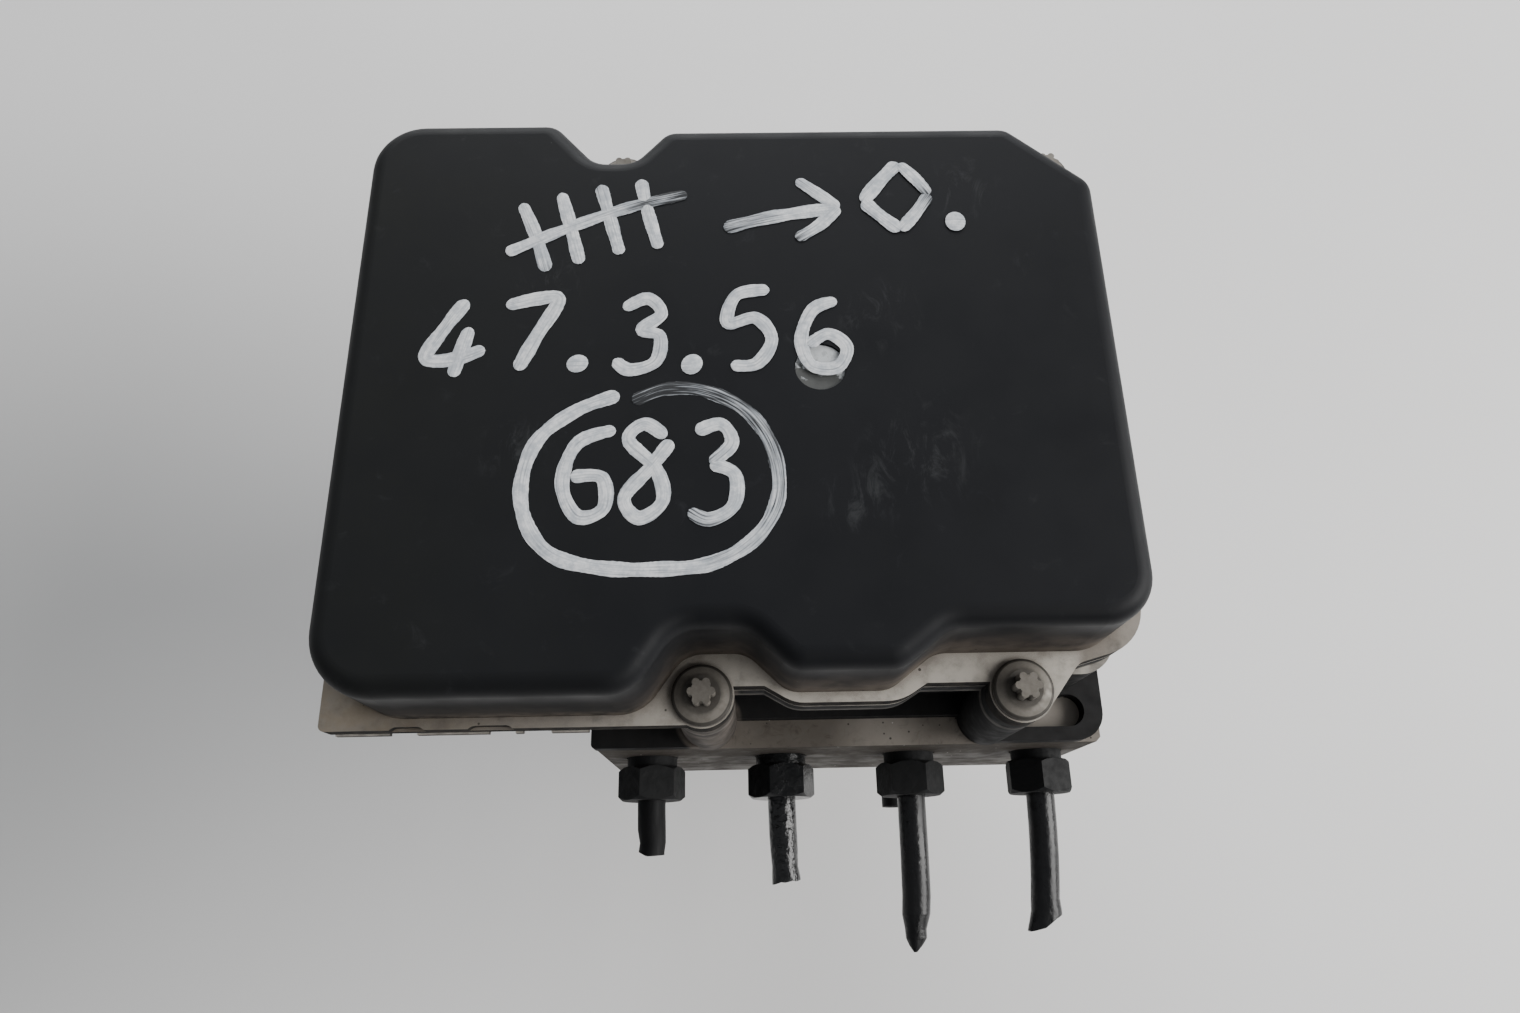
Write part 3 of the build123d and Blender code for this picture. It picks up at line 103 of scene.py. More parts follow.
class Finish:
    """One material and the calls that build its node tree; lengths are in millimetres."""

    def __init__(self, name, roughness=0.5, metallic=0.0, specular=0.5):
        self.material = bpy.data.materials.new(name)
        self.material.use_nodes = True
        self.tree = self.material.node_tree
        self.shader = self.tree.nodes["Principled BSDF"]
        self.shader.inputs["Roughness"].default_value = roughness
        self.shader.inputs["Metallic"].default_value = metallic
        self.shader.inputs["Specular IOR Level"].default_value = specular
        self.place = self.add("ShaderNodeTexCoord").outputs["Object"]

    def add(self, kind, **settings):
        node = self.tree.nodes.new(kind)
        for key, value in settings.items():
            setattr(node, key, value)
        return node

    def set(self, socket, value):
        """Links a socket to another node's output, or gives it a constant."""
        if isinstance(value, bpy.types.NodeSocket):
            self.tree.links.new(value, socket)
        else:
            socket.default_value = value

    def out(self, input_name, value):
        self.set(self.shader.inputs[input_name], value)

    def math(self, operation, a, b=0.0, clamp=False):
        node = self.add("ShaderNodeMath", operation=operation, use_clamp=clamp)
        self.set(node.inputs[0], a)
        self.set(node.inputs[1], b)
        return node.outputs[0]

    def plus(self, first, *others):
        """Sum of two or more values."""
        for other in others:
            first = self.math("ADD", first, other)
        return first

    def times(self, first, *others):
        """Product of two or more values."""
        for other in others:
            first = self.math("MULTIPLY", first, other)
        return first

    def without(self, value):
        """1 where value is 0, and 0 where it is 1."""
        return self.math("SUBTRACT", 1.0, value)

    def remap(self, value, low, high, to_low=0.0, to_high=1.0):
        """Smooth step of value between low and high."""
        node = self.add("ShaderNodeMapRange", interpolation_type="SMOOTHSTEP")
        for socket, number in zip(node.inputs[:5], (value, low, high, to_low, to_high)):
            self.set(socket, number)
        return node.outputs[0]

    def along(self, axis, start, end, to_start=0.0, to_end=1.0):
        """Smooth step between two places on an axis."""
        return self.remap(self.axis(axis), start * MM, end * MM, to_start, to_end)

    def near(self, point, outer, inner, at_outer=0.0, at_inner=1.0, flat=False):
        """Smooth step between two distances from a point, along the plan only if flat."""
        away = self.distance(point, flat)
        return self.remap(away, outer * MM, inner * MM, at_outer, at_inner)

    def stretch(self, scale, turn=(0.0, 0.0, 0.0)):
        """The object's coordinates, scaled along each axis."""
        node = self.add("ShaderNodeMapping")
        self.set(node.inputs["Vector"], self.place)
        node.inputs["Rotation"].default_value = [math.radians(a) for a in turn]
        node.inputs["Scale"].default_value = scale
        return node.outputs[0]

    def noise(self, size, detail=4.0, rough=0.55, distortion=0.0, place=None):
        """Noise whose largest blotches are about size millimetres across."""
        node = self.add("ShaderNodeTexNoise")
        self.set(node.inputs["Vector"], place or self.place)
        node.inputs["Scale"].default_value = 1.0 / (size * MM)
        node.inputs["Detail"].default_value = detail
        node.inputs["Roughness"].default_value = rough
        node.inputs["Distortion"].default_value = distortion
        return node.outputs["Fac"]

    def specks(self, spacing, radius, share):
        """1 inside small dots of radius millimetres, on about that share of the cells."""
        node = self.add("ShaderNodeTexVoronoi", feature="F1")
        self.set(node.inputs["Vector"], self.place)
        node.inputs["Scale"].default_value = 1.0 / (spacing * MM)
        dot = self.remap(node.outputs["Distance"], radius / spacing, 0.6 * radius / spacing)
        split = self.add("ShaderNodeSeparateColor")
        self.set(split.inputs[0], node.outputs["Color"])
        chosen = self.math("LESS_THAN", split.outputs[0], share)
        return self.times(dot, chosen)

    def mix(self, factor, a, b):
        node = self.add("ShaderNodeMix", data_type="RGBA")
        self.set(node.inputs["Factor"], factor)
        colours = [s for s in node.inputs if s.type == "RGBA"]
        for socket, value in zip(colours, (a, b)):
            self.set(socket, value if isinstance(value, bpy.types.NodeSocket) else (*value, 1.0))
        return [s for s in node.outputs if s.type == "RGBA"][0]

    def axis(self, name):
        """One coordinate of the object, in metres."""
        node = self.add("ShaderNodeSeparateXYZ")
        self.set(node.inputs[0], self.place)
        return node.outputs[name]

    def facing(self, name):
        """One component of the surface's normal."""
        node = self.add("ShaderNodeSeparateXYZ")
        self.set(node.inputs[0], self.add("ShaderNodeNewGeometry").outputs["Normal"])
        return node.outputs[name]

    def distance(self, point, flat=False):
        """Distance in metres to a point given in millimetres, along the plan only if flat."""
        place = self.place
        if flat:
            node = self.add("ShaderNodeVectorMath", operation="MULTIPLY")
            self.set(node.inputs[0], place)
            node.inputs[1].default_value = (1.0, 1.0, 0.0)
            place = node.outputs[0]
        node = self.add("ShaderNodeVectorMath", operation="DISTANCE")
        self.set(node.inputs[0], place)
        node.inputs[1].default_value = [c * MM for c in point]
        return node.outputs["Value"]

    def hollow(self, size):
        """1 deep in corners that are size millimetres wide, 0 on open faces."""
        node = self.add("ShaderNodeAmbientOcclusion", samples=4)
        node.inputs["Distance"].default_value = size * MM
        return self.without(node.outputs["AO"])

    def bump(self, height, depth, strength=1.0, under=None):
        """Relief of depth millimetres; under is an earlier relief that it lies on."""
        node = self.add("ShaderNodeBump")
        node.inputs["Distance"].default_value = depth * MM
        node.inputs["Strength"].default_value = strength
        self.set(node.inputs["Height"], height)
        if under is not None:
            self.set(node.inputs["Normal"], under)
        self.out("Normal", node.outputs[0])
        return node.outputs[0]


def finish_nodes(finish, *names):
    """Gives the CAD nodes that finish."""
    for name in names:
        mesh = nodes[name].data
        mesh.materials.clear()
        mesh.materials.append(finish.material)


def add_object(name, shape, finish):
    """Turns a bmesh into an object with that finish."""
    mesh = bpy.data.meshes.new(name)
    shape.to_mesh(mesh)
    shape.free()
    mesh.materials.append(finish.material)
    piece = bpy.data.objects.new(name, mesh)
    objects.link(piece)
    return piece


# ---------------------------------------------------------------- control unit's finishes

DUST = (0.53, 0.495, 0.44)
# dark colour of grime, also used for painted shade on the screws
GRIME_AND_SHADE = (0.035, 0.031, 0.027)
BLACK = (0.0065, 0.0065, 0.007)

cover = Finish("satin_black_plastic", roughness=0.5, specular=0.13)
tint = cover.mix(cover.noise(38, 3), (0.0072, 0.0076, 0.0087), (0.0108, 0.0114, 0.0132))
left_side = cover.along("X", -20, -85)
tint = cover.mix(cover.times(left_side, cover.noise(12, 5)), tint, (0.0115, 0.0122, 0.011))
scuffs = cover.remap(cover.noise(5, 8, 0.7, 0.6), 0.58, 0.8)
tint = cover.mix(cover.times(scuffs, 0.3), tint, (0.045, 0.047, 0.05))

# faint rubbed patches on the top: x, y and radius
RUBBED = [
    (3.9, 7.2, 9),
    (8.5, -15.5, 12),
    (-47.4, 14.9, 7),
    (-0.9, -23.3, 8),
    (18.7, 31.3, 8),
    (-51.8, -14.5, 8),
]
rubs = cover.plus(*[cover.near((x, y, COVER_TOP), size, 0.0) for x, y, size in RUBBED])
across = cover.stretch((1.0, 0.45, 1.0), turn=(0.0, 0.0, 50.0))
strands = cover.noise(3.5, 9, 0.72, 1.2, place=across)
rubs = cover.times(rubs, cover.remap(strands, 0.5, 0.72))
tint = cover.mix(cover.math("MULTIPLY", rubs, 0.42, clamp=True), tint, (0.075, 0.078, 0.08))

# road dust on the wall, thickest at its foot, to the right and in front
up = cover.remap(cover.facing("Z"), 0.3, 0.8)
wall_foot = cover.along("Z", LEDGE + 15.2, LEDGE + 1.7)
in_front = cover.along("Y", -28, -38, 0.3, 1.0)
dirty_end = cover.times(cover.along("X", -45, 8, 0.25, 0.85), in_front)
wall_dust = cover.times(wall_foot, cover.remap(cover.noise(6, 6), 0.28, 0.72, 0.3, 1.0))
tint = cover.mix(cover.times(wall_dust, dirty_end), tint, (0.135, 0.112, 0.094))
foot = cover.along("Z", LEDGE + 4.7, LEDGE + 0.5)
foot = cover.times(foot, cover.remap(cover.noise(2.5, 6), 0.3, 0.6))
tint = cover.mix(cover.times(foot, in_front, 0.6), tint, (0.15, 0.127, 0.105))

# pale dust on the flange, thinner and browner to the left and thinner at the right corner
ledge = cover.times(cover.along("Z", LEDGE + 0.25, LEDGE + 0.1), up)
ledge_dust = cover.remap(cover.noise(3.0, 8, 0.62), 0.25, 0.6, 0.55, 1.0)
right_side = cover.along("X", -50, -15, 0.36, 1.0)
corner = cover.along("X", 32.5, 36.5, 1.0, 0.4)
tint = cover.mix(cover.times(ledge, ledge_dust, right_side, corner), tint, DUST)
left_brown = cover.along("X", -45, -78, 0.0, 0.42)
left_brown = cover.times(left_brown, cover.remap(cover.noise(2.5, 7), 0.35, 0.6, 0.7, 1.3))
tint = cover.mix(cover.times(ledge, left_brown), tint, (0.16, 0.128, 0.085))

# dirt and painted shade in the corner between wall and flange, pits in the dust, and painted shade,
# mottled, on the flange's outer edge
corner_dirt_and_shade = cover.remap(cover.hollow(3.5), 0.15, 0.6)
corner_dirt_and_shade = cover.times(corner_dirt_and_shade, cover.along("Z", LEDGE + 4.7, LEDGE + 1.2))
tint = cover.mix(cover.times(corner_dirt_and_shade, 0.6), tint, (0.075, 0.06, 0.048))
pits = cover.specks(2.2, 0.3, 0.25)
tint = cover.mix(cover.times(pits, wall_foot, 0.85), tint, GRIME_AND_SHADE)
# the flange's downward and outward faces are painted dark as shade, mottled with dark brown
edge = cover.times(cover.along("Z", LEDGE, LEDGE - 0.2), cover.without(up))
edge_mottle = cover.remap(cover.noise(2.5, 7), 0.35, 0.65)
tint = cover.mix(edge, tint, cover.mix(edge_mottle, BLACK, (0.03, 0.026, 0.022)))
flecks = cover.specks(5.5, 0.14, 0.2)
tint = cover.mix(cover.times(flecks, 0.4), tint, (0.2, 0.2, 0.2))
cover.out("Base Color", tint)
satin = cover.remap(cover.noise(9, 6), 0.2, 0.8, 0.42, 0.56)
low_wall = cover.along("Z", LEDGE + 15.7, LEDGE + 6.7)
cover.out("Roughness", cover.plus(satin, cover.times(low_wall, 0.42)))
grain = cover.bump(cover.noise(0.35, 2), 0.02, 0.5)
cover.bump(cover.noise(14, 3), 0.08, 0.4, grain)
finish_nodes(cover, "ecu_cover")

# dust lies on what faces up, on the flange's lower lip and down the left front boss
housing = Finish("dusty_black_plastic", roughness=0.5, specular=0.2)
up = housing.remap(housing.facing("Z"), 0.3, 0.85)
cloud = housing.remap(housing.noise(4, 8, 0.6), 0.3, 0.65, 0.35, 1.0)
above_foot = housing.along("Z", FLANGE_FOOT - 0.5, FLANGE_FOOT + 0.1)
tint = housing.mix(housing.noise(10, 3), BLACK, (0.009, 0.009, 0.0098))
tint = housing.mix(housing.times(above_foot, cloud, up, 0.9), tint, DUST)
lip = housing.times(housing.along("Z", FLANGE_FOOT + 1.5, FLANGE_FOOT + 0.9), above_foot)
tint = housing.mix(housing.times(lip, cloud, 0.22), tint, DUST)
near_boss = housing.near((*SCREWS[0], 0.0), 6.2, 5.4, flat=True)
tint = housing.mix(housing.times(near_boss, cloud, 0.5), tint, (0.20, 0.17, 0.145))
on_skirt = housing.along("Z", SKIRT_TOP + 1.5, SKIRT_TOP + 0.5)
tint = housing.mix(housing.times(up, on_skirt, cloud, 0.012), tint, DUST)
housing.out("Base Color", tint)
housing.out("Roughness", housing.remap(housing.noise(3, 5), 0.3, 0.7, 0.62, 0.85))
housing.bump(housing.noise(0.9, 2), 0.012, 0.4)
finish_nodes(housing, "ecu_housing")

# the vent's far side is rubbed pale
vent = Finish("vent_plastic", roughness=0.6)
tint = vent.mix(vent.noise(1.5, 5), (0.035, 0.037, 0.036), (0.09, 0.092, 0.088))
far_side = vent.along("Y", -3.5, 0.5)
brushed = vent.plus(far_side, vent.remap(vent.noise(1.8, 6), 0.35, 0.7))
tint = vent.mix(vent.remap(brushed, 0.75, 1.15), tint, (0.5, 0.52, 0.53))
vent.out("Base Color", tint)
vent.bump(vent.noise(0.4, 3), 0.03, 0.6)
finish_nodes(vent, "vent_membrane")

rubber = Finish("seal_rubber", roughness=0.75)
rubber.out("Base Color", rubber.mix(rubber.noise(4, 4), (0.008, 0.008, 0.008), (0.02, 0.02, 0.019)))
rubber.bump(rubber.noise(0.6, 3), 0.02, 0.5)
finish_nodes(rubber, "ecu_seal")

# oily dirt and painted shade round each star's foot, dirt in the groove at the rim, and painted
# shade in the head's hollows
screw = Finish("worn_zinc", roughness=0.6, metallic=0.45)
tint = screw.mix(screw.noise(1.2, 7, 0.65), (0.115, 0.103, 0.086), (0.25, 0.232, 0.205))
radius = screw.distance((*SCREWS[0], 0.0), flat=True)
for spot in SCREWS[1:]:
    radius = screw.math("MINIMUM", radius, screw.distance((*spot, 0.0), flat=True))
on_head = screw.along("Z", SCREW_HEAD_TOP + 0.6, SCREW_HEAD_TOP + 0.1)
star_foot_dirt_and_shade = screw.times(screw.remap(radius, 3.6 * MM, 2.7 * MM), on_head)
tint = screw.mix(screw.times(star_foot_dirt_and_shade, 0.6), tint, GRIME_AND_SHADE)
rim = screw.times(screw.remap(radius, 4.2 * MM, 4.35 * MM), on_head)
tint = screw.mix(screw.times(rim, 0.85), tint, GRIME_AND_SHADE)
# painted shade, darker deeper in the hollows
tint = screw.mix(screw.times(screw.hollow(1.5), 0.7), tint, GRIME_AND_SHADE)
screw.out("Base Color", tint)
screw.out("Roughness", screw.remap(screw.noise(1.0, 5), 0.3, 0.7, 0.52, 0.75))
screw.bump(screw.noise(0.6, 4), 0.05, 0.6)
finish_nodes(screw, "ecu_screws")

# ---------------------------------------------------------------- block, motor and metal parts

block = Finish("dusty_aluminium", roughness=0.6, metallic=0.1, specular=0.3)
up = block.remap(block.facing("Z"), 0.3, 0.8)
upright = block.without(up)
tint = block.mix(block.noise(7, 8, 0.65), (0.105, 0.09, 0.075), (0.25, 0.225, 0.195))
stains = block.remap(block.noise(3.0, 9, 0.7, 1.0), 0.5, 0.7)
tint = block.mix(block.times(stains, 0.65), tint, (0.06, 0.049, 0.04))
left_end = block.times(block.along("X", -18, -34, 0.0, 0.7), up)
tint = block.mix(left_end, tint, (0.02, 0.018, 0.016))

# two cleaner patches and a smudge on the top, beside and in the skirt's slot
patch = block.near((6.0, -50.5, BLOCK_TOP + 1), 10, 2, 0.0, 0.4)
in_slot = block.near((38.5, -47.5, BLOCK_TOP + 1), 9, 3, 0.0, 0.6)
tint = block.mix(block.times(block.plus(patch, in_slot), up), tint, (0.40, 0.365, 0.32))
smudge = block.near((-10.0, -50.5, BLOCK_TOP + 1), 15, 4, 0.0, 0.5)
tint = block.mix(block.times(smudge, up), tint, (0.055, 0.046, 0.037))

# the sides are bare metal; the front is dark along its top edge and dirty lower down
ragged = block.plus(block.axis("Z"), block.times(block.noise(4, 6), 5 * MM))
top_band = block.remap(ragged, (BLOCK_TOP - 10.5) * MM, (BLOCK_TOP - 6.5) * MM)
in_front = block.along("Y", BLOCK_FRONT + 4, BLOCK_FRONT + 0.5, 0.25, 0.9)
tint = block.mix(block.times(top_band, upright, in_front), tint, (0.045, 0.037, 0.03))
below = block.remap(ragged, (BLOCK_TOP - 7.5) * MM, (BLOCK_TOP - 11.5) * MM)
sides = block.times(block.along("Y", BLOCK_FRONT + 0.5, BLOCK_FRONT + 4), upright)
bare = block.remap(block.noise(9, 7), 0.2, 0.75, 0.55, 0.9)
bare = block.times(bare, block.math("MAXIMUM", below, sides))
tint = block.mix(bare, tint, (0.43, 0.425, 0.41))
front_dirt = block.times(block.along("Y", BLOCK_FRONT + 1.5, BLOCK_FRONT + 0.5), upright)
front_dirt = block.times(front_dirt, block.remap(block.noise(5, 7), 0.3, 0.65, 0.6, 0.95))
tint = block.mix(front_dirt, tint, (0.05, 0.042, 0.034))
tint = block.mix(block.times(block.specks(1.5, 0.26, 0.45), 0.85), tint, (0.02, 0.018, 0.016))
tint = block.mix(block.times(block.specks(2.0, 0.2, 0.16), 0.8), tint, (0.62, 0.6, 0.57))
block.out("Base Color", tint)
rough = block.remap(block.noise(2, 5), 0.2, 0.8, 0.45, 0.75)
block.out("Roughness", block.plus(rough, block.times(front_dirt, 0.3)))
block.bump(block.noise(0.8, 5), 0.06, 0.7)
finish_nodes(block, "valve_block")

steel = Finish("bright_steel", roughness=0.32, metallic=1.0)
steel.out("Base Color", steel.mix(steel.noise(3, 5), (0.38, 0.37, 0.36), (0.56, 0.56, 0.55)))
steel.out("Roughness", steel.remap(steel.noise(0.8, 4), 0.3, 0.7, 0.24, 0.42))
steel.bump(steel.noise(0.3, 3), 0.01, 0.5)
finish_nodes(
    steel,
    *["motor_shaft", "motor_screws", "eccentric_bearing", "tail_bearing", "front_bearing"],
    *["pump_piston_1", "pump_piston_2", "pump_plugs", "sealing_balls"],
    *[f"valve_plunger_{i}" for i in range(1, 9)],
)

body_steel = Finish("turned_steel", roughness=0.4, metallic=0.9)
turned = body_steel.noise(0.3, 3, place=body_steel.stretch((0.05, 0.05, 1.0)))
body_steel.out("Base Color", body_steel.mix(turned, (0.33, 0.325, 0.315), (0.47, 0.465, 0.455)))
body_steel.bump(turned, 0.01, 0.6)
finish_nodes(body_steel, *[f"valve_body_{i}" for i in range(1, 9)], "rotor_core")

caps = Finish("zinc_yellow_steel", roughness=0.42, metallic=0.85)
caps.out("Base Color", caps.mix(caps.noise(4, 6), (0.30, 0.27, 0.21), (0.46, 0.43, 0.36)))
caps.bump(caps.noise(0.8, 4), 0.02, 0.5)
finish_nodes(caps, "accumulator_caps", "accumulator_piston_1", "accumulator_piston_2")

can = Finish("zinc_plated_can", roughness=0.36, metallic=0.9)
drawn = can.noise(0.5, 4, place=can.stretch((1.0, 1.0, 0.03)))
tint = can.mix(can.noise(16, 6), (0.33, 0.33, 0.325), (0.48, 0.48, 0.47))
tint = can.mix(can.times(drawn, 0.35), tint, (0.22, 0.22, 0.215))
stained = can.remap(can.noise(5, 7, 0.65), 0.56, 0.72)
tint = can.mix(can.times(stained, 0.5), tint, (0.16, 0.13, 0.10))
can.out("Base Color", tint)
can.out("Roughness", can.remap(can.noise(6, 5), 0.3, 0.7, 0.28, 0.5))
can.bump(drawn, 0.012, 0.5)
finish_nodes(can, "motor_can")

springs = Finish("spring_wire", roughness=0.3, metallic=1.0)
springs.out("Base Color", springs.mix(springs.noise(2, 4), (0.22, 0.22, 0.22), (0.4, 0.4, 0.4)))
finish_nodes(
    springs,
    *["valve_springs", "brush_spring_1", "brush_spring_2", "pump_spring_1", "pump_spring_2"],
    *["accumulator_spring_1", "accumulator_spring_2"],
)

coils = Finish("coil_can", roughness=0.45, metallic=0.6)
coils.out("Base Color", coils.mix(coils.noise(3, 5), (0.07, 0.07, 0.07), (0.14, 0.14, 0.135)))
coils.bump(coils.noise(0.5, 3), 0.02, 0.5)
finish_nodes(coils, "solenoid_coils")

copper = Finish("enamelled_copper", roughness=0.35, metallic=0.9)
wound = copper.noise(0.6, 3, place=copper.stretch((1.0, 1.0, 0.1)))
copper.out("Base Color", copper.mix(wound, (0.28, 0.09, 0.035), (0.55, 0.22, 0.1)))
copper.bump(wound, 0.1, 0.8)
finish_nodes(copper, "rotor_winding", "commutator")

ferrite = Finish("ferrite", roughness=0.7)
grey = ferrite.mix(ferrite.noise(2, 6), (0.03, 0.03, 0.032), (0.065, 0.063, 0.062))
ferrite.out("Base Color", grey)
ferrite.bump(ferrite.noise(0.4, 3), 0.03, 0.6)
finish_nodes(ferrite, "motor_magnets")

carbon = Finish("brush_carbon", roughness=0.55)
carbon.out("Base Color", carbon.mix(carbon.noise(1, 6), (0.02, 0.02, 0.021), (0.05, 0.05, 0.052)))
finish_nodes(carbon, "brush_1", "brush_2")

moulding = Finish("inner_moulding", roughness=0.55)
black = moulding.mix(moulding.noise(5, 4), (0.014, 0.014, 0.015), (0.03, 0.03, 0.031))
moulding.out("Base Color", black)
finish_nodes(moulding, "brush_plate", "processor_chip", "filter_capacitor")

board = Finish("board_laminate", roughness=0.4)
tracks = board.remap(board.noise(2.2, 2, 0.2, 2.5), 0.48, 0.52)
board.out("Base Color", board.mix(tracks, (0.012, 0.07, 0.03), (0.02, 0.11, 0.05)))
finish_nodes(board, "circuit_board")

pins = Finish("tinned_pins", roughness=0.28, metallic=1.0)
pins.out("Base Color", pins.mix(pins.noise(2, 4), (0.5, 0.46, 0.38), (0.66, 0.63, 0.56)))
finish_nodes(pins, "connector_pins")

# ---------------------------------------------------------------- black-painted nuts and pipes


def black_paint(name, roughness, relief, specular):
    """Black paint brushed on along Y; relief is the unevenness of its coat in millimetres."""
    coat = Finish(name, roughness=roughness, specular=specular)
    runs = coat.noise(2.2, 5, 0.6, place=coat.stretch((1.0, 0.18, 1.0)))
    coat.out("Base Color", coat.mix(runs, (0.0022, 0.0022, 0.0026), (0.0055, 0.0055, 0.0062)))
    coat.out("Roughness", coat.remap(runs, 0.3, 0.75, roughness, roughness + 0.25))
    lumps = coat.bump(coat.noise(1.4, 3), relief, 0.8)
    coat.bump(runs, relief / 2, 0.8, lumps)
    return coat


finish_nodes(black_paint("matt_black_coat", 0.5, 0.12, 0.22), "brake_pipe_1")
finish_nodes(black_paint("wet_black_coat", 0.09, 0.45, 0.6), "brake_pipe_2")
finish_nodes(black_paint("gloss_black_coat", 0.2, 0.2, 0.4), "brake_pipe_3", "brake_pipe_4")
finish_nodes(black_paint("dull_black_coat", 0.4, 0.1, 0.22), "inlet_pipe")

# the second nut is still wet
nuts = Finish("painted_nuts", roughness=0.3, specular=0.26)
rub = nuts.noise(1.6, 6, 0.6)
nuts.out("Base Color", nuts.mix(rub, (0.003, 0.0033, 0.0036), (0.0095, 0.0098, 0.0102)))
dull = nuts.remap(rub, 0.35, 0.7, 0.62, 0.76)
wet = nuts.times(nuts.near(SECOND_NUT, 12, 8), 0.5)
nuts.out("Roughness", nuts.math("SUBTRACT", dull, wet))
nuts.bump(rub, 0.22, 0.8)
finish_nodes(nuts, "tube_nuts")

# ---------------------------------------------------------------- marker strokes on the cover

STROKE_WIDTH = 2.1
FIRST_LIFT = 0.03  # of the first stroke above the cover
LIFT_STEP = 0.015  # of each stroke above the one before
CROWN = 0.09  # a stroke's middle above its sides
ACROSS = (-1.0, -0.85, -0.45, 0.0, 0.45, 0.85, 1.0)
DRY_SHARE = 0.55  # of its length that a stroke dries out over
THINNEST_TIP = 0.06
DOT_SIDES = 18
DOT_RINGS = ((1.0, 0.0), (0.8, 0.07), (0.4, 0.12))  # share of the radius, rise

# streaks along each stroke, which let the cover show where it runs dry
paint = Finish("marker_paint", roughness=0.55, specular=0.3)
streak_map = paint.add("ShaderNodeMapping")
paint.set(streak_map.inputs["Vector"], paint.add("ShaderNodeUVMap", uv_map="stroke").outputs[0])
streak_map.inputs["Scale"].default_value = (0.09, 2.4, 1.0)
streak_noise = paint.add("ShaderNodeTexNoise")
paint.set(streak_noise.inputs["Vector"], streak_map.outputs[0])
streak_noise.inputs["Scale"].default_value = 1.6
streak_noise.inputs["Detail"].default_value = 5.0
streaks = streak_noise.outputs["Fac"]
dry = paint.add("ShaderNodeAttribute", attribute_name="dry").outputs["Fac"]
thin = paint.plus(streaks, paint.times(dry, 0.42))
patches = paint.remap(paint.noise(1.3, 6, 0.65), 0.35, 0.65)
tint = paint.mix(patches, (0.47, 0.495, 0.525), (0.74, 0.745, 0.75))
tint = paint.mix(paint.remap(thin, 0.42, 0.68, 0.0, 0.6), tint, (0.29, 0.32, 0.355))
tint = paint.mix(paint.remap(thin, 0.60, 0.86), tint, (0.02, 0.021, 0.023))
paint.out("Base Color", tint)
paint.bump(streaks, 0.08, 0.5)


def smooth_path(points, step=0.35):
    """Points about step millimetres apart on a smooth curve through the given ones."""
    path = []
    ends = [points[0]] + list(points) + [points[-1]]
    for p0, p1, p2, p3 in zip(ends, ends[1:], ends[2:], ends[3:]):
        count = max(2, int((p2 - p1).length / step))
        for i in range(count):
            t = i / count
            twice = 2 * p1 + (p2 - p0) * t
            twice += (2 * p0 - 5 * p1 + 4 * p2 - p3) * t * t
            twice += (3 * p1 - p0 - 3 * p2 + p3) * t**3
            path.append(0.5 * twice)
    path.append(points[-1])
    return path


class Marker:
    """Strokes of a felt marker, one mesh for each group of marks."""

    def __init__(self, name, seed):
        self.mesh = bmesh.new()
        self.uv = self.mesh.loops.layers.uv.new("stroke")
        self.dry = self.mesh.verts.layers.float.new("dry")
        self.name = name
        self.random = random.Random(seed)
        self.count = 0

    def next_lift(self):
        """Height above the cover for the next stroke, so that none lies in another."""
        lift = FIRST_LIFT + LIFT_STEP * self.count
        self.count += 1
        return lift

    def vertex(self, x, y, lift):
        return self.mesh.verts.new((x * MM, y * MM, (COVER_TOP + lift) * MM))

    def stroke(self, points, width=STROKE_WIDTH, dry_start=0.0, dry_end=0.0):
        """A stroke through points (x, y); a dry end lets the cover show through its streaks."""
        path = smooth_path([Vector(p) for p in points])
        length = sum((b - a).length for a, b in zip(path, path[1:]))
        dries = DRY_SHARE * length
        shift = self.random.uniform(0, 50)
        phase = self.random.uniform(0, 6)
        lift = self.next_lift()
        rows = []
        run = 0.0
        for i, point in enumerate(path):
            before, after = path[max(i - 1, 0)], path[min(i + 1, len(path) - 1)]
            run += (point - before).length
            along = (after - before).normalized()
            out = Vector((-along.y, along.x))
            left = length - run
            # the ends are round and the sides waver a little
            half = width / 2
            tip = min(run, left, half)
            half *= math.sqrt(max(1 - (1 - tip / half) ** 2, THINNEST_TIP))
            half *= 1 + 0.07 * math.sin(run * 0.9 + phase) + self.random.uniform(-0.035, 0.035)
            dryness = max(dry_start * (1 - run / dries), dry_end * (1 - left / dries), 0.0)
            row = []
            for s in ACROSS:
                x, y = point + out * (half * s)
                vertex = self.vertex(x, y, lift + CROWN * (1 - s * s))
                vertex[self.dry] = dryness
                row.append((vertex, (run + shift, s * half + shift)))
            rows.append(row)
        for a, b in zip(rows, rows[1:]):
            for k in range(len(ACROSS) - 1):
                self.face((a[k + 1], b[k + 1], b[k], a[k]))

    def dot(self, x, y, radius):
        """A round dab of paint."""
        lift = self.next_lift()
        rings = []
        for share, rise in DOT_RINGS:
            ring = []
            for i in range(DOT_SIDES):
                turn = 2 * math.pi * i / DOT_SIDES
                reach = radius * share * (1 + 0.06 * math.sin(2 * turn + x))
                place = (x + reach * math.cos(turn), y + reach * math.sin(turn))
                ring.append((self.vertex(*place, lift + rise), place))
            rings.append(ring)
        for outer, inner in zip(rings, rings[1:]):
            for i in range(DOT_SIDES):
                k = (i + 1) % DOT_SIDES
                self.face((outer[i], outer[k], inner[k], inner[i]))
        self.face(rings[-1])

    def face(self, corners):
        """One face through (vertex, place in the stroke) corners."""
        face = self.mesh.faces.new([vertex for vertex, uv in corners])
        face.smooth = True
        for loop, (vertex, uv) in zip(face.loops, corners):
            loop[self.uv].uv = uv

    def place(self):
        """Puts the strokes on the cover as one piece."""
        self.mesh.normal_update()
        piece = add_object(self.name, self.mesh, paint)
        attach(piece, "unit")


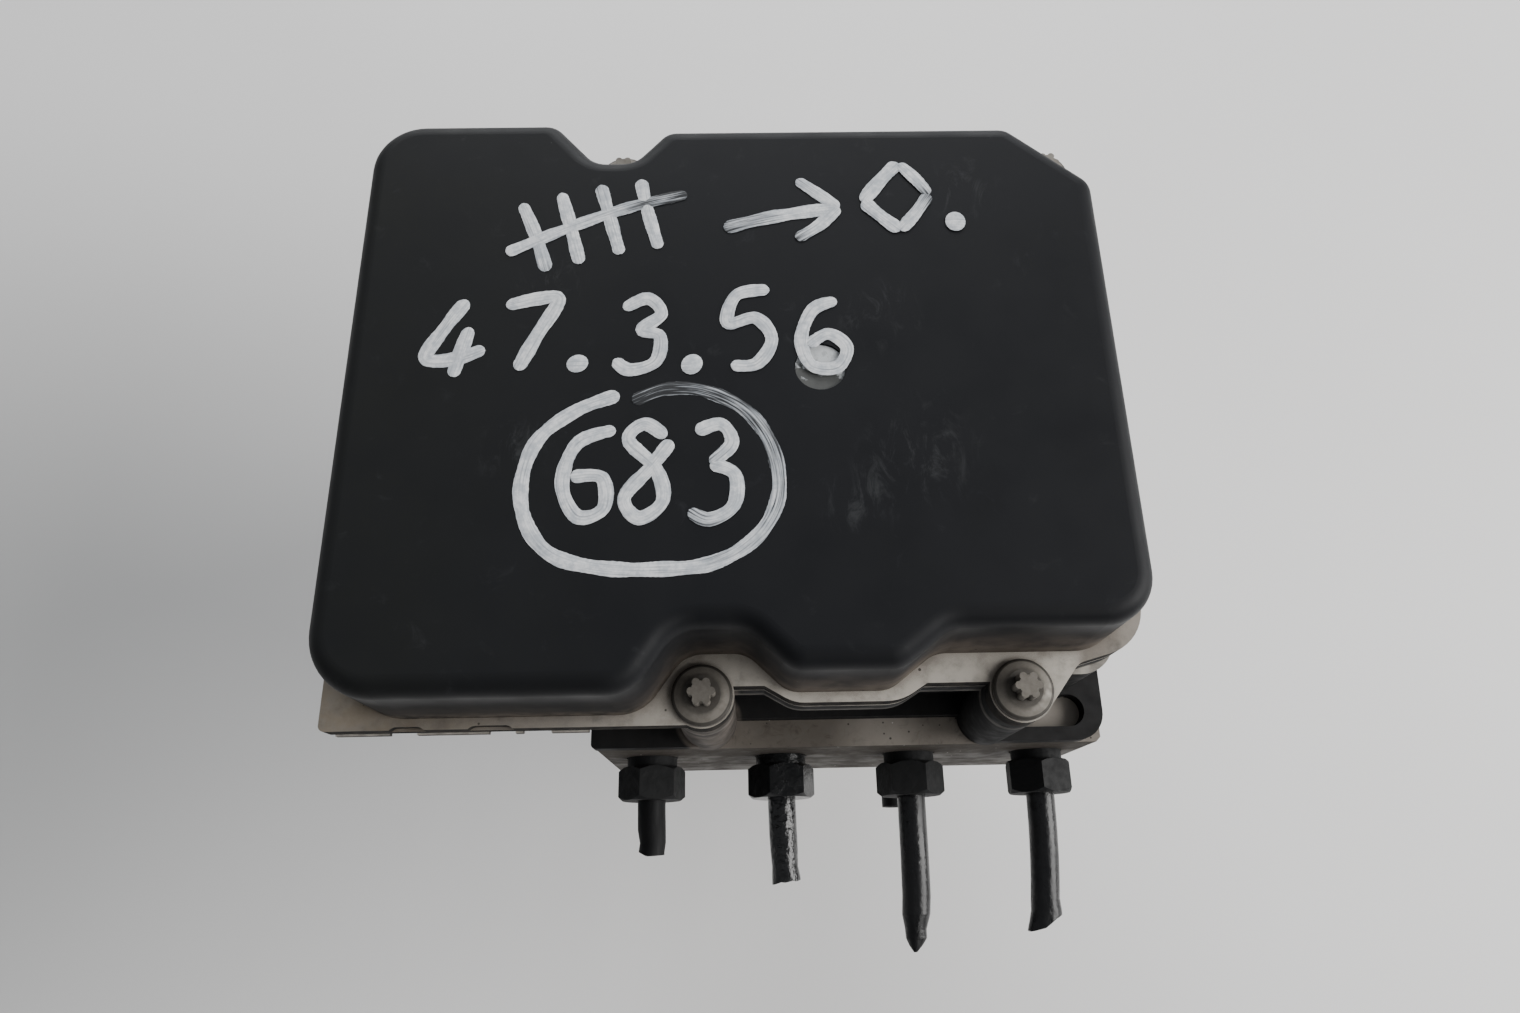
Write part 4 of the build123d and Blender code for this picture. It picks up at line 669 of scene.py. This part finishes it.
# Five tally strokes, an arrow, a diamond and a dot: plain marks without meaning.
tally = Marker("marker_tally", 3)
tally.stroke([(-53.5, 29.5), (-51.0, 23.5), (-48.8, 16.5)], dry_end=0.3)
tally.stroke([(-47.2, 31.5), (-45.4, 25.0), (-43.6, 17.8)])
tally.stroke([(-40.8, 33.0), (-39.2, 27.0), (-37.2, 19.5)], dry_start=0.4)
tally.stroke([(-34.2, 34.0), (-33.0, 28.0), (-31.0, 20.5)])
tally.stroke([(-55.5, 20.0), (-46.0, 24.5), (-36.0, 28.5), (-26.5, 31.0)], dry_end=0.9)
tally.stroke([(-20.5, 24.2), (-14.0, 26.0), (-7.5, 27.2), (-1.6, 28.0)], width=2.4, dry_start=0.8)
tally.stroke([(-8.4, 33.6), (-5.2, 31.0), (-1.6, 28.0)], dry_start=0.3)
tally.stroke([(-1.6, 28.0), (-5.0, 24.6), (-8.8, 22.0)], dry_end=0.5)
tally.stroke([(8.6, 36.8), (5.6, 33.4), (3.0, 30.0), (2.4, 29.0)], width=2.4)
tally.stroke([(2.4, 29.2), (5.0, 26.4), (8.2, 23.4)], width=2.4)
tally.stroke([(8.2, 23.4), (10.8, 26.6), (13.4, 30.4)], dry_end=0.6)
tally.stroke([(13.4, 30.4), (11.6, 33.2), (8.8, 36.6)], dry_start=0.6)
tally.dot(17.3, 25.0, 1.75)
tally.place()

# Plain digits, the last one run over the vent.
digits = Marker("marker_digits", 8)
digits.stroke([(-61.0, 11.3), (-64.0, 6.5), (-66.6, 1.2), (-62.5, 0.8), (-57.6, 2.6)], width=2.3)
digits.stroke([(-60.2, 6.4), (-61.4, 1.4), (-62.2, -2.2)], width=2.3)
digits.stroke([(-54.8, 10.2), (-50.0, 11.4), (-46.6, 11.2), (-49.8, 4.6), (-52.4, -1.2)], width=2.3)
digits.dot(-43.2, -0.2, 1.6)
digits.stroke(
    [(-36.4, 9.4), (-32.6, 11.2), (-30.4, 8.4), (-33.4, 5.6)]
    + [(-30.6, 4.4), (-31.2, 0.0), (-35.2, -1.4), (-37.6, 0.4)]
)
digits.dot(-25.6, -0.6, 1.7)
digits.stroke(
    [(-13.4, 12.6), (-18.6, 11.6), (-20.0, 6.6), (-15.6, 7.4)]
    + [(-13.2, 3.6), (-15.6, -0.6), (-19.6, -0.9)]
)
digits.stroke(
    [(-2.8, 10.4), (-6.6, 8.8), (-8.6, 3.6), (-7.2, -1.0)]
    + [(-3.2, -1.4), (-1.6, 2.0), (-4.4, 4.4), (-7.6, 2.4)]
)
digits.place()

# Oval ring with three digits.
ring = Marker("marker_ring", 15)
ring.stroke(
    [(-36.6, -5.6), (-43.0, -8.2), (-48.6, -13.0), (-50.6, -20.0), (-49.4, -26.4), (-45.6, -31.0)]
    + [(-39.0, -33.0), (-31.0, -33.4), (-22.6, -32.6), (-16.0, -28.6), (-12.8, -22.2)]
    + [(-13.6, -14.6), (-17.4, -8.6), (-23.6, -5.2), (-29.6, -4.8), (-34.6, -6.8)],
    width=2.2,
    dry_end=0.9,
)
ring.stroke(
    [(-37.0, -11.4), (-42.6, -13.6), (-44.6, -20.0), (-42.2, -25.2)]
    + [(-38.4, -24.0), (-38.8, -19.2), (-43.4, -19.0)]
)
ring.stroke(
    [(-29.4, -12.8), (-32.6, -10.6), (-35.0, -13.2), (-30.8, -18.0), (-29.8, -23.0)]
    + [(-33.2, -25.6), (-35.4, -22.4), (-31.6, -17.6), (-28.6, -13.4)]
)
ring.stroke([(-25.0, -12.0), (-21.2, -10.8), (-19.6, -14.0), (-22.8, -17.2)], dry_end=0.3)
ring.stroke(
    [(-22.8, -17.2), (-19.2, -19.0), (-19.4, -23.8), (-23.0, -26.0), (-26.0, -24.6)],
    dry_end=0.5,
)
ring.place()

# ---------------------------------------------------------------- springs copied from the CAD springs

SPRING_REACH = 6.0  # from a valve spring's axis, wider than it and short of its neighbour


def live_spring(name, node, joint, entry, middle=None):
    """Spring in the place of a CAD spring, from a copy of its mesh: the share of it that the
    joint's stroke keeps is worked out, but the spring is not shortened.

    Where a node holds several springs, the one round middle is taken.
    """
    coil = bmesh.new()
    coil.from_mesh(nodes[node].data)
    coil.transform(nodes[node].matrix_world)
    if middle is not None:
        far = [v for v in coil.verts if (v.co.xy - middle.xy).length > SPRING_REACH * MM]
        bmesh.ops.delete(coil, geom=far, context="VERTS")
    low, high = [[pick(v.co[i] for v in coil.verts) for i in range(3)] for pick in (min, max)]
    piece = add_object(name, coil, springs)
    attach(piece, "unit")
    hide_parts(node)
    letter = entry["mode"][-1]
    along = "xyz".index(letter)
    fixed = entry[f"fixed_end_{letter}_m"]
    free = max(low[along], high[along], key=lambda end: abs(end - fixed))
    stroke = joint["axis"][along] * joint["range_m"][1]
    keep = (free + stroke - fixed) / (free - fixed)
    # a spring that its joint lets go stays as it is
    if keep < 1:
        anchor = [(a + b) / 2 for a, b in zip(low, high)]
        anchor[along] = fixed
        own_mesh(piece)


for joint in frame["record"]["behaviour"]["joints"]:
    for entry in joint.get("deforming_nodes", []):
        node = entry["node"]
        if node == "valve_springs":
            number = joint["name"].split("_")[1]
            plunger_low, plunger_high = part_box(f"valve_plunger_{number}")
            middle = (Vector(plunger_low) + Vector(plunger_high)) / 2
            live_spring(f"valve_spring_{number}", node, joint, entry, middle)
        else:
            live_spring(f"{node}_coil", node, joint, entry)

# ---------------------------------------------------------------- floor, light and camera

FLOOR_HALF = 1.5
FLOOR_GAP = 0.0001
LIGHT_TARGET = (0.0, 0.0, 0.06)

# a pale table, with painted shade darkening it towards the near left corner
table = Finish("pale_table", roughness=0.45, specular=0.3)
tint = table.mix(table.noise(90, 3), (0.75, 0.74, 0.73), (0.79, 0.785, 0.78))
corner_shade = table.near((-270.0, -30.0, 0.0), 250, 20, 0.0, 0.95)
table.out("Base Color", table.mix(corner_shade, tint, (0.43, 0.43, 0.425)))
grid = bmesh.new()
bmesh.ops.create_grid(grid, x_segments=8, y_segments=8, size=FLOOR_HALF)
floor = add_object("floor", grid, table)
floor.location.z = cad_box[0][2] - FLOOR_GAP


def area_light(name, place, target, size, power, colour):
    """Soft box at place, turned to target; both in metres."""
    data = bpy.data.lights.new(name, "AREA")
    data.shape = "RECTANGLE"
    data.size, data.size_y = size
    data.energy = power
    data.color = colour
    light = bpy.data.objects.new(name, data)
    light.location = place
    aim = Vector(target) - Vector(place)
    light.rotation_euler = aim.to_track_quat("-Z", "Y").to_euler()
    objects.link(light)


area_light("window", (1.15, -0.06, 0.76), LIGHT_TARGET, (1.0, 1.0), 25.0, (1.0, 0.99, 0.975))
area_light("front", (0.7, -0.85, 0.85), LIGHT_TARGET, (0.8, 0.8), 4.5, (1.0, 0.99, 0.975))
area_light("back", (0.0, 1.15, 0.62), (0.0, 0.15, 0.0), (1.2, 0.7), 13.0, (0.97, 0.985, 1.0))

# the room is darker in front, where the photographer stands
world = bpy.data.worlds.new("room")
bpy.context.scene.world = world
world.use_nodes = True
room = world.node_tree
background = room.nodes["Background"]
background.inputs["Color"].default_value = (0.94, 0.96, 1.0, 1.0)
room_way = room.nodes.new("ShaderNodeTexCoord")
room_split = room.nodes.new("ShaderNodeSeparateXYZ")
room_light = room.nodes.new("ShaderNodeMapRange")
for name, value in {"From Min": -0.6, "From Max": 0.5, "To Min": 0.14, "To Max": 0.52}.items():
    room_light.inputs[name].default_value = value
room.links.new(room_way.outputs["Generated"], room_split.inputs[0])
room.links.new(room_split.outputs["Y"], room_light.inputs["Value"])
room.links.new(room_light.outputs[0], background.inputs["Strength"])

# The photograph's camera, fitted to it: held in front and above, 20 degrees from straight down.
CAMERA_PLACE = (-0.0178, -0.0753, 0.2823)
CAMERA_RIGHT = Vector((0.99977, -0.01980, 0.00876))
CAMERA_UP = Vector((0.01550, 0.93685, 0.34939))
camera_data = bpy.data.cameras.new("camera")
camera_data.sensor_width = 36.0
camera_data.lens = 23.80
camera = bpy.data.objects.new("camera", camera_data)
camera_back = CAMERA_RIGHT.cross(CAMERA_UP)
camera_turn = Matrix((CAMERA_RIGHT, CAMERA_UP, camera_back)).transposed().to_4x4()
camera.matrix_world = Matrix.Translation(CAMERA_PLACE) @ camera_turn
objects.link(camera)
bpy.context.scene.camera = camera
